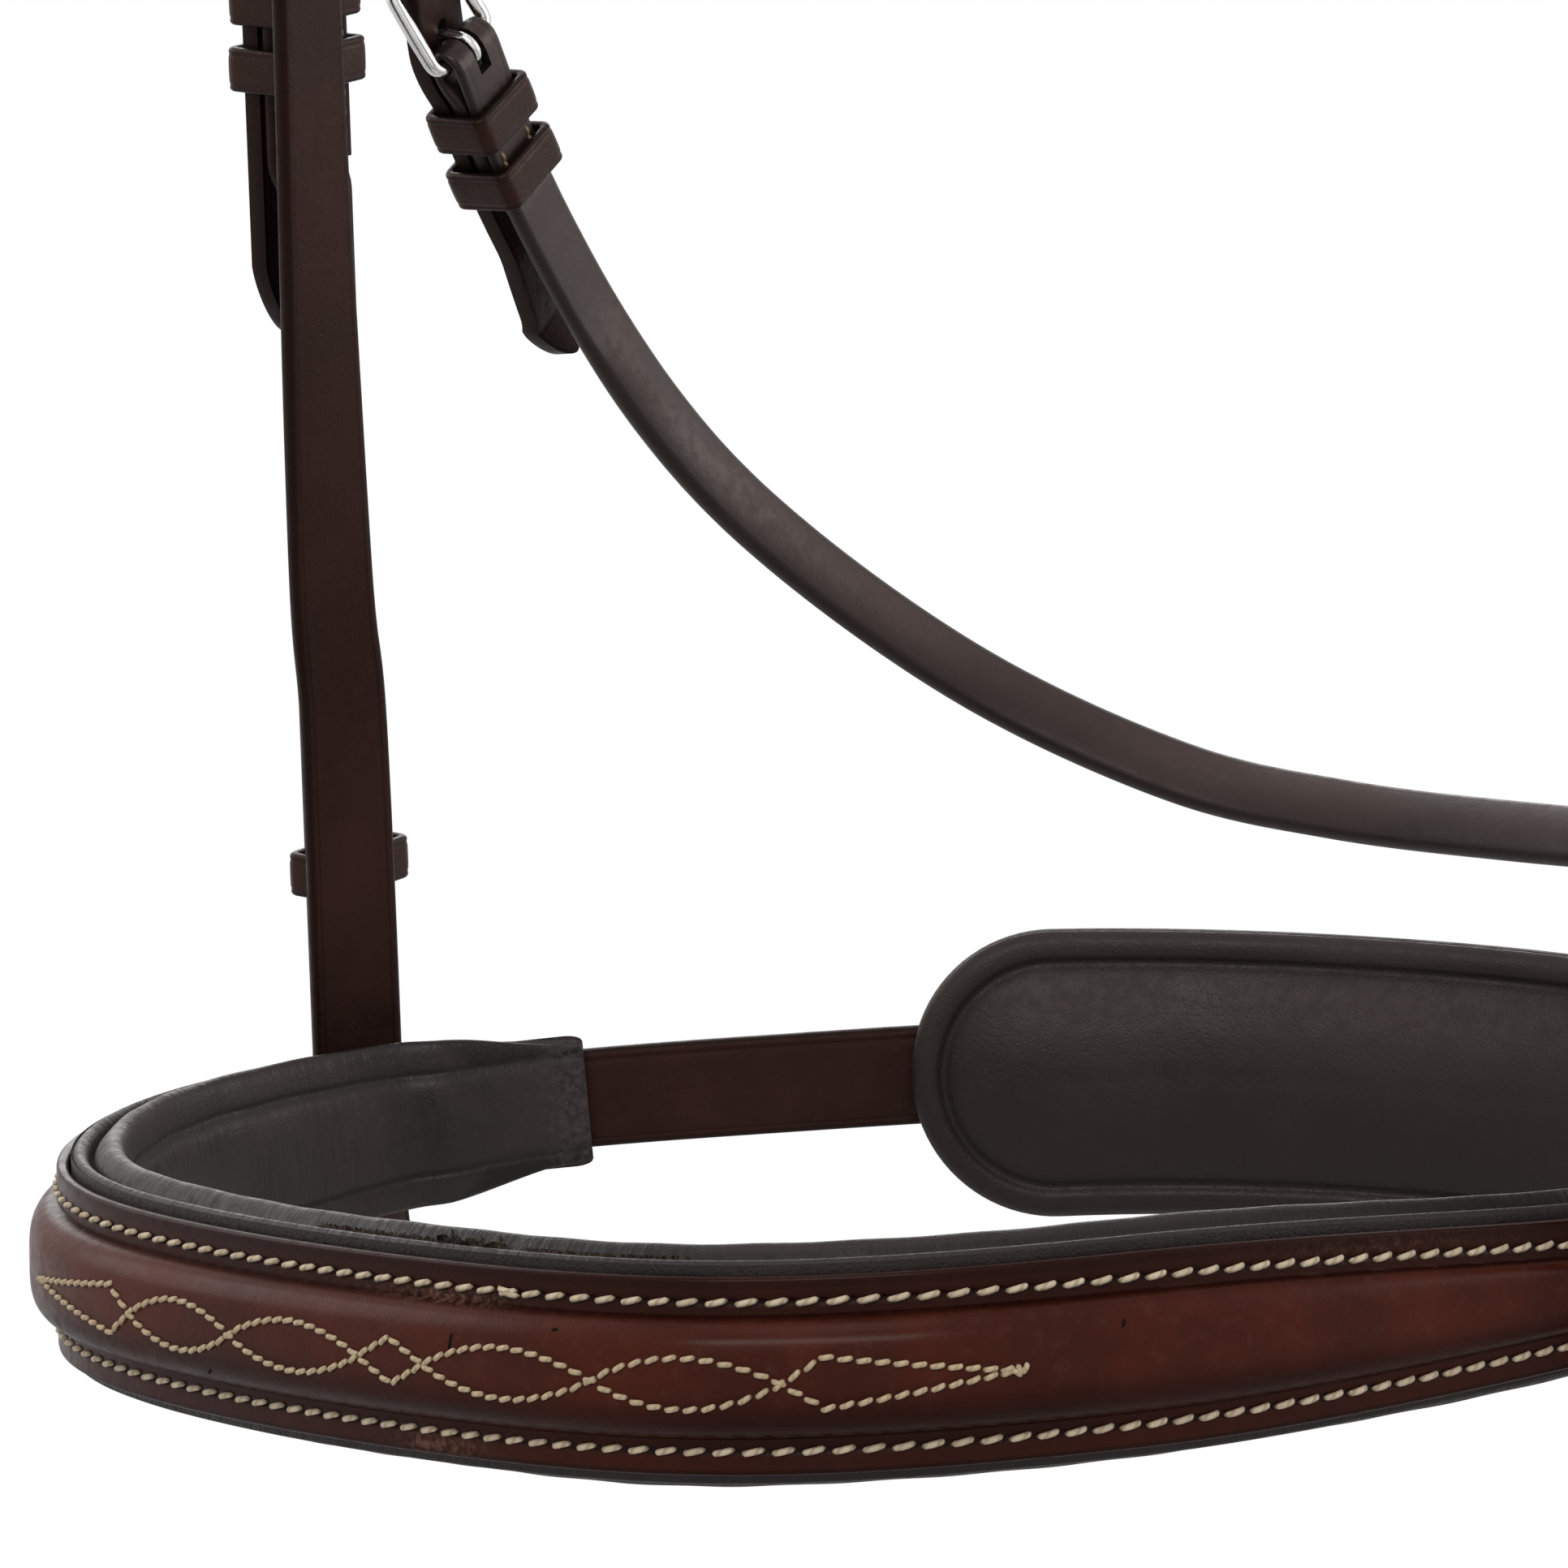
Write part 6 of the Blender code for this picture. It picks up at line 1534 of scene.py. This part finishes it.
def headpiece(arch, cheek, throat):
    """Headpiece as a plate of cells in two layers: the crown full width, each side split in two billets."""
    rise = hanger_thick + clearance + strap_thick / 2
    side_x, split_z = arch_half + rise, split_height - noseband_drop
    e0, e1, e2, e3 = -crown_half_width, -slit_front, slit_rear, crown_half_width
    cheek_s0, throat_s0 = cheek_s(cheek, cheek_bar_height), throat["s"][-1] - throat_bar
    front = billet_side(cheek, billet_rows(cheek_s0, -1, 0.0, cheek_width / 2, strap_thick,
                                           cheek_bar_height - cheek_tip_height),
                        np.array([side_x, (e0 + e1) / 2, split_z]), (e1 - e0) / 2, 15)
    rear = billet_side(throat, billet_rows(throat_s0, 1, 0.0, throat_width / 2, strap_thick, throat_tip,
                                           throat_tip_ride, throat_tip_play),
                       np.array([side_x, (e2 + e3) / 2, split_z]), (e3 - e2) / 2, 11)
    y = np.concatenate([np.linspace(e0, e1, 15), np.linspace(e1, e2, 8)[1:-1], np.linspace(e2, e3, 11)])
    cells = np.array([0] * 14 + [1] * 7 + [2] * 10)
    s = np.linspace(arch["s"][0], arch["s"][-1], 190)
    p, _t, _w, n = frame_at(arch, s)
    down = np.linspace(0.0, 1.0, 9)[1:, None] * np.array([0.0, 0.0, split_z - p[0, 2]])
    centre = p + n * rise
    centre = np.vstack([centre[0] + down[::-1], centre, centre[-1] + down])
    out = np.vstack([np.repeat(n[:1], 8, 0), n, np.repeat(n[-1:], 8, 0)])
    arch_pos = centre[:, None] + np.array([0.0, 1.0, 0.0]) * y[None, :, None]
    arch_out = np.repeat(out[:, None], len(y), 1)
    arch_edge = np.repeat(np.minimum(y - e0, e3 - y)[None], len(centre), 0)
    nf, nr = len(front[0]), len(rear[0])
    count = max(nf, nr)
    fi, ri = np.minimum(np.arange(1, count), nf - 1), np.minimum(np.arange(1, count), nr - 1)

    def side_grid(k, fill):
        gap = np.broadcast_to(fill, (count - 1, 6) + front[k].shape[2:])
        return np.concatenate([front[k][fi], gap, rear[k][ri]], 1)

    side_pos, side_out, side_edge = side_grid(0, 0.0), side_grid(1, 1.0), side_grid(2, 0.0)
    rows_left = np.arange(1, count)
    side_mask = np.stack([rows_left < nf, np.zeros(count - 1, bool), rows_left < nr], 1)[:, cells]
    flip = np.array([-1.0, 1.0, 1.0])
    pos = np.concatenate([side_pos[::-1] * flip, arch_pos, side_pos])
    out = np.concatenate([side_out[::-1] * flip, arch_out, side_out])
    edge = np.concatenate([side_edge[::-1], arch_edge, side_edge])
    mask = np.concatenate([side_mask[::-1], np.ones((len(centre) - 1, len(cells)), bool), side_mask])
    rows, cols = pos.shape[:2]
    out = unit(out)
    thick = strap_thick / 2
    verts = np.vstack([(pos + out * thick).reshape(-1, 3), (pos - out * thick).reshape(-1, 3)])
    i, j = np.nonzero(mask)
    a, shift = i * cols + j, rows * cols
    b, c, d = a + 1, a + cols, a + cols + 1
    filled = np.pad(mask, 1)
    quads = [np.stack([a, b, d, c], 1), np.stack([a, c, d, b], 1) + shift]
    for di, dj, q0, q1 in ((-1, 0, a, b), (1, 0, d, c), (0, -1, c, a), (0, 1, b, d)):
        bare = ~filled[i + 1 + di, j + 1 + dj]
        quads.append(np.stack([q1, q0, q0 + shift, q1 + shift], 1)[bare])
    quads = np.vstack(quads)
    used = np.unique(quads)
    number = np.zeros(len(verts), int)
    number[used] = np.arange(len(used))
    marks = laid(lengths_along(pos[:, 4])[:, None], y, 0.0, edge)
    marks = {key: np.concatenate([value.reshape((shift,) + value.shape[2:])] * 2)[used]
             for key, value in marks.items()}
    obj = make_piece("headpiece_leather", "bridle", verts[used], number[quads], (), STRAP,
                     ("headpiece",), marks, sharp=0)
    cutters = []
    for side in (1, -1):
        cutters += billet_holes(cheek, cheek_s0, -1, 0.0, side, 2)
        cutters += billet_holes(throat, throat_s0, 1, 0.0, side, 1)
    punch(obj, cutters)
    mod = obj.modifiers.new("rounded_edges", "BEVEL")
    mod.width, mod.segments, mod.limit_method, mod.angle_limit = 0.0006, 3, "ANGLE", math.radians(60.0)
    mod.harden_normals = False
    top = hanger_thick + clearance + strap_thick + seam_rise
    seam_pair("crown_stitches", ("front", "rear"), arch, -crown_seam_reach, crown_seam_reach, top,
              e0 + crown_seam_inset, 1.0, crown_seam_pitch)
    return cheek_s0, throat_s0


def crown_padding(arch):
    """Padding under the crown: rounded below, with sewn edges and a channel above for the hanger."""
    s = end_stations(crown_pad_half_length, crown_pad_taper, 120, 14, 1.6)
    ends = np.sqrt(np.clip(1 - np.clip((np.abs(s) - crown_pad_half_length + 0.012) / 0.012, 0, 1) ** 2, 0, 1))
    one = np.ones(len(s))
    half = crown_pad_half_width - (1 - ends) * crown_pad_rim
    low = pad_depth * (0.55 + 0.45 * ends)
    top = (hanger_thick - clearance / 3) * one
    left, right = ((hanger_crown_y + way * (hanger_width / 2 + clearance * 2)) * one for way in (-1, 1))
    lip = 0.0003
    upper_a = np.stack([crown_pad_rim - half, left - lip, left, left, right, right, right + lip,
                        half - crown_pad_rim], 1)
    upper_r = np.stack([top, top, top - lip, -clearance * one, -clearance * one, top - lip, top, top], 1)
    turn = np.radians(np.linspace(78.0, -258.0, 45))
    turn = turn[(turn < 1.0) & (turn > -math.pi - 1.0)]
    span = (np.abs(np.cos(turn)) ** 0.62) * np.sign(np.cos(turn))
    drop = np.where(np.sin(turn) > 0, np.sin(turn) * 0.45, np.sin(turn))
    lower_a = (half + crown_pad_bulge * ends)[:, None] * span[None]
    lower_r = np.where(drop[None] > 0, top[:, None] * drop[None] * 1.6, low[:, None] * drop[None])
    across, rise = np.concatenate([upper_a, lower_a], 1), np.concatenate([upper_r, lower_r], 1)
    dimple = 0.00018 * np.sin(s * 230.0)[:, None] * (rise < -0.002)
    obj = ring_piece("crown_padding", "bridle", lay(arch, s[:, None], rise + dimple, across), PADDING,
                     laid(s[:, None], across, rise), ("crown_pad",), sharp=50.0)


# Browband

def brow_route():
    """Browband route: rolled loop, side and front in plan, sagging forward by a power of the distance."""
    inner_x = arch_half - clearance - brow_thick / 2
    outer_x = arch_half + hanger_thick + strap_thick + 2 * clearance + brow_thick / 2
    mid_x, turn = (inner_x + outer_x) / 2, (outer_x - inner_x) / 2
    half = [(inner_x, brow_sewn_y), (inner_x, brow_sewn_y / 2), (inner_x, 0.0), (inner_x, brow_rear)]
    half += [(mid_x + turn * math.cos(a), brow_rear + turn * math.sin(a))
             for a in np.radians(np.linspace(180.0, 0.0, 9)[1:])]
    half += [(outer_x, 0.0), (outer_x, brow_open_y / 2), (outer_x, brow_open_y),
             (brow_side_x + 0.45 * (outer_x - brow_side_x), (brow_open_y + brow_close_y) / 2)]
    closed_y = brow_close_y - brow_thick
    half += [(brow_side_x * max(0.0, math.cos(a)) ** 0.9, closed_y + (brow_front - closed_y) * math.sin(a))
             for a in np.radians(np.linspace(0.0, 90.0, 10))]
    half = np.asarray(half)
    plan = np.vstack([half[:-1] * (-1.0, 1.0), half[::-1]])
    d = lengths_along(plan)
    q = np.linspace(0.0, d[-1], brow_points)
    plan = np.stack([np.interp(q, d, plan[:, k]) for k in range(2)], 1)
    for _ in range(6):
        plan[1:-1] = 0.25 * plan[:-2] + 0.5 * plan[1:-1] + 0.25 * plan[2:]
    forward = np.clip((brow_close_y - plan[:, 1]) / (brow_close_y - brow_front), 0.0, 1.0)
    z = brow_height - noseband_drop - brow_sag * forward ** 1.5
    path = from_middle(make_path(np.column_stack([plan, z]), (0, 0, 1)))
    front = np.clip(forward * 6.0, 0.0, 1.0)
    path["half"] = brow_loop_half + (brow_half_height - brow_loop_half) * front * front * (3 - 2 * front)
    path["crown"] = brow_crown * np.clip(forward * 4.0, 0.0, 1.0) + 0.0001
    path["forward"] = forward
    return path


def brow_surface(path, s, w):
    """Rise of the browband's face: flange and roll, like the nosepiece's."""
    half, crown = (np.interp(s, path["s"], path[key]) for key in ("half", "crown"))
    x = np.abs(w) / (half - np.minimum(brow_flange, half * 0.4))
    return brow_thick / 2 + crown * roll_share(x)


def browband():
    """Browband: leather with its loops, the padded lining behind the front, and both kinds of stitching."""
    path = brow_route()
    s, half = path["s"], path["half"]
    u = np.concatenate([np.linspace(0.0, 0.55, 10), np.linspace(0.58, 0.965, 16)])
    w = half[:, None] * np.concatenate([-u[:0:-1], u])[None]
    top = brow_surface(path, s[:, None] + 0 * w, w)
    low = -brow_thick / 2
    edge_w = half[:, None] - 0.0004 + 0.0004 * np.cos(np.radians([70.0, 25.0, -25.0, -70.0]))[None]
    edge_v = np.stack([top[:, -1] - 0.0001, top[:, -1] - 0.0005, low + 0.0005 + 0 * s,
                       low + 0.0001 + 0 * s], 1)
    back_w = half[:, None] * np.linspace(0.93, -0.93, 7)[None]
    across = np.concatenate([w, edge_w, back_w, -edge_w[:, ::-1]], 1)
    rise = np.concatenate([top, edge_v, low + 0 * back_w, edge_v[:, ::-1]], 1)
    flip = 1.0 if path["n"][brow_points // 2, 1] < 0 else -1.0
    marks = laid(s[:, None], across, rise, np.maximum(half[:, None] - np.abs(across), 0.0))
    ring_piece("browband_leather", "bridle", lay(path, s[:, None], flip * rise, across), BROW,
               marks, ("browband_face",), sharp=50.0)

    def on_brow(s, w):
        return on_face(path, lambda s, w: brow_surface(path, s, w), s, w, fine_thread * 0.4, flip)

    near = brow_points // 2
    last = float(np.interp(brow_row_from, path["forward"][near:][::-1], s[near:][::-1]))
    count = int(last / brow_pitch)
    rows = (np.arange(-count, count) + 0.5) * brow_pitch
    for label, sign in (("upper", 1.0), ("lower", -1.0)):
        p, ds, _dw, out = on_brow(rows, sign * (np.interp(rows, s, half) - brow_inset))
        stitches("browband_stitches_" + label, p, ds, out, brow_pitch * 0.84, fine_thread * 1.15, THREAD,
                 12.0, 0.6)
    fine = np.linspace(-fancy_tip, fancy_tip, 3000)
    for label, sign in (("over", 1.0), ("under", -1.0)):
        strand = np.stack([fine, sign * fancy_curve(fine) * brow_fancy_share], 1)
        spots, runs = even_steps(strand, fancy_pitch)
        p, ds, dw, out = on_brow(*spots.T)
        stitches("browband_fancy_" + label, p, unit(ds) * runs[:, :1] + unit(dw) * runs[:, 1:], out,
                 fancy_pitch * 0.96, fine_thread, FINE_THREAD, 12.0, 0.45)
    pick = np.nonzero(path["p"][:, 1] < brow_close_y - brow_lining_inset)[0]
    step = np.arange(len(pick))
    distance = np.minimum(step, step[::-1]) * (path["length"] / (brow_points - 1))
    ends = 0.45 + 0.55 * np.sqrt(1 - (1 - np.clip(distance / 0.010, 0.0, 1.0)) ** 2)
    across, rise = padded_section(half[pick] - (1 - ends) * brow_lining_rise,
                                  np.full(len(pick), low - clearance), brow_lining_depth * ends,
                                  brow_lining_rim, brow_lining_rim_depth * ends, brow_lining_rise)
    across, rise = closed_section(across, rise, 3)
    s = s[pick][:, None]
    obj = ring_piece("browband_padding", "bridle", lay(path, s, flip * rise, across), PADDING,
                     laid(s, across, rise), ("browband_lining",), sharp=60.0)


# Studio

def look_from(name, data, place, away):
    """Light or camera put in the scene at a place, its back turned along a direction."""
    obj = link(bpy.data.objects.new(name, data))
    obj.location = tuple(place)
    obj.rotation_euler = Vector(away).to_track_quat("Z", "Y").to_euler()
    return obj


def lamp(name, place, aim, size, power, tall=None):
    """Round area light, or an oblong one where a height is given, turned to a point."""
    data = bpy.data.lights.new(name, "AREA")
    data.shape, data.size, data.energy = "RECTANGLE" if tall else "DISK", size, power
    if tall:
        data.size_y = tall
    look_from(name, data, place, np.asarray(place, float) - np.asarray(aim, float))


def studio():
    """Plain pale floor far below, white to the camera all round, and five large soft lights."""
    scene = bpy.context.scene
    scene.view_settings.view_transform = "Standard"
    world = bpy.data.worlds.new("studio")
    scene.world = world
    world.use_nodes = True
    tree = world.node_tree
    tree.nodes.clear()
    ray = wire_up(tree, "ShaderNodeLightPath")
    seen = maths(tree, "MAXIMUM", ray.outputs["Is Camera Ray"],
                 maths(tree, "MAXIMUM", ray.outputs["Is Glossy Ray"], ray.outputs["Is Transmission Ray"]))
    room, white = (wire_up(tree, "ShaderNodeBackground",
                           {"Color": (1.0, 1.0, 1.0, 1.0), "Strength": strength}) for strength in (0.38, 1.0))
    mix = wire_up(tree, "ShaderNodeMixShader", {0: seen, 1: room.outputs[0], 2: white.outputs[0]})
    wire_up(tree, "ShaderNodeOutputWorld", {"Surface": mix.outputs[0]})

    mat, tree, shader = new_material("pale_floor")
    cloudy = noise(tree, object_place(tree), 3.0)
    feed(tree, shader, {"Base Color": blend_colour(tree, cloudy, (0.64, 0.64, 0.64), (0.66, 0.66, 0.66)),
                        "Roughness": 0.9, "Specular IOR Level": 0.0})
    turn = np.linspace(0.0, 2 * math.pi, 96, endpoint=False)
    verts = np.stack([1.3 * np.cos(turn), 1.3 * np.sin(turn), np.full(96, -0.76)], 1)
    mesh = bpy.data.meshes.new("floor")
    mesh.from_pydata(verts.tolist(), [], [list(range(96))])
    mesh.materials.append(mat)
    floor = link(bpy.data.objects.new("floor", mesh))

    lamp("key", (0.60, -1.25, 0.75), (0.0, 0.0, -0.28), 1.5, 16.0, 0.40)
    lamp("top", (0.1, -0.3, 1.4), (0.0, 0.0, -0.28), 0.9, 4.0)
    lamp("left_side", (-1.30, -0.35, 0.35), (0.0, 0.0, -0.30), 1.0, 6.0)
    lamp("right_back", (1.25, 1.0, 0.25), (0.0, 0.0, -0.25), 0.9, 9.0)
    lamp("left_back", (-0.95, 1.0, 0.35), (0.0, 0.0, -0.30), 1.2, 9.0)


def camera():
    """Camera at the photograph's angle: 36.5 degrees round from the front, 8 up, 1.3 m away."""
    azimuth, elevation, distance = math.radians(36.5), math.radians(8.0), 1.3
    target = np.array([-0.014, -0.031, -0.2887])
    away = np.array([math.sin(azimuth) * math.cos(elevation), -math.cos(azimuth) * math.cos(elevation),
                     math.sin(elevation)])
    data = bpy.data.cameras.new("camera")
    data.lens, data.sensor_width, data.sensor_fit = 201.4, 36.0, "HORIZONTAL"
    bpy.context.scene.camera = look_from("camera", data, target + away * distance, away)


def main():
    """Every piece of the bridle in turn, then the studio and the camera."""
    camera()
    ring, arch, cheek, throat = ring_path(), arch_path(), cheek_path(), throat_path()
    hang = hanger_path(ring)
    cheek_s0, throat_s0 = headpiece(arch, cheek, throat)
    crown_padding(arch)
    browband()
    for label, side in (("left", 1), ("right", -1)):
        cheekpiece(cheek, cheek_s0, side, label)
    nosepiece_face(ring)
    nosepiece_padding(ring)
    main_rows(ring)
    fancy_rows(ring)
    torn_edge(ring)
    rear_straps(ring)
    jaw_pad(ring)
    hanger(hang)
    throatlatch(throat, throat_s0)
    studio()


main()
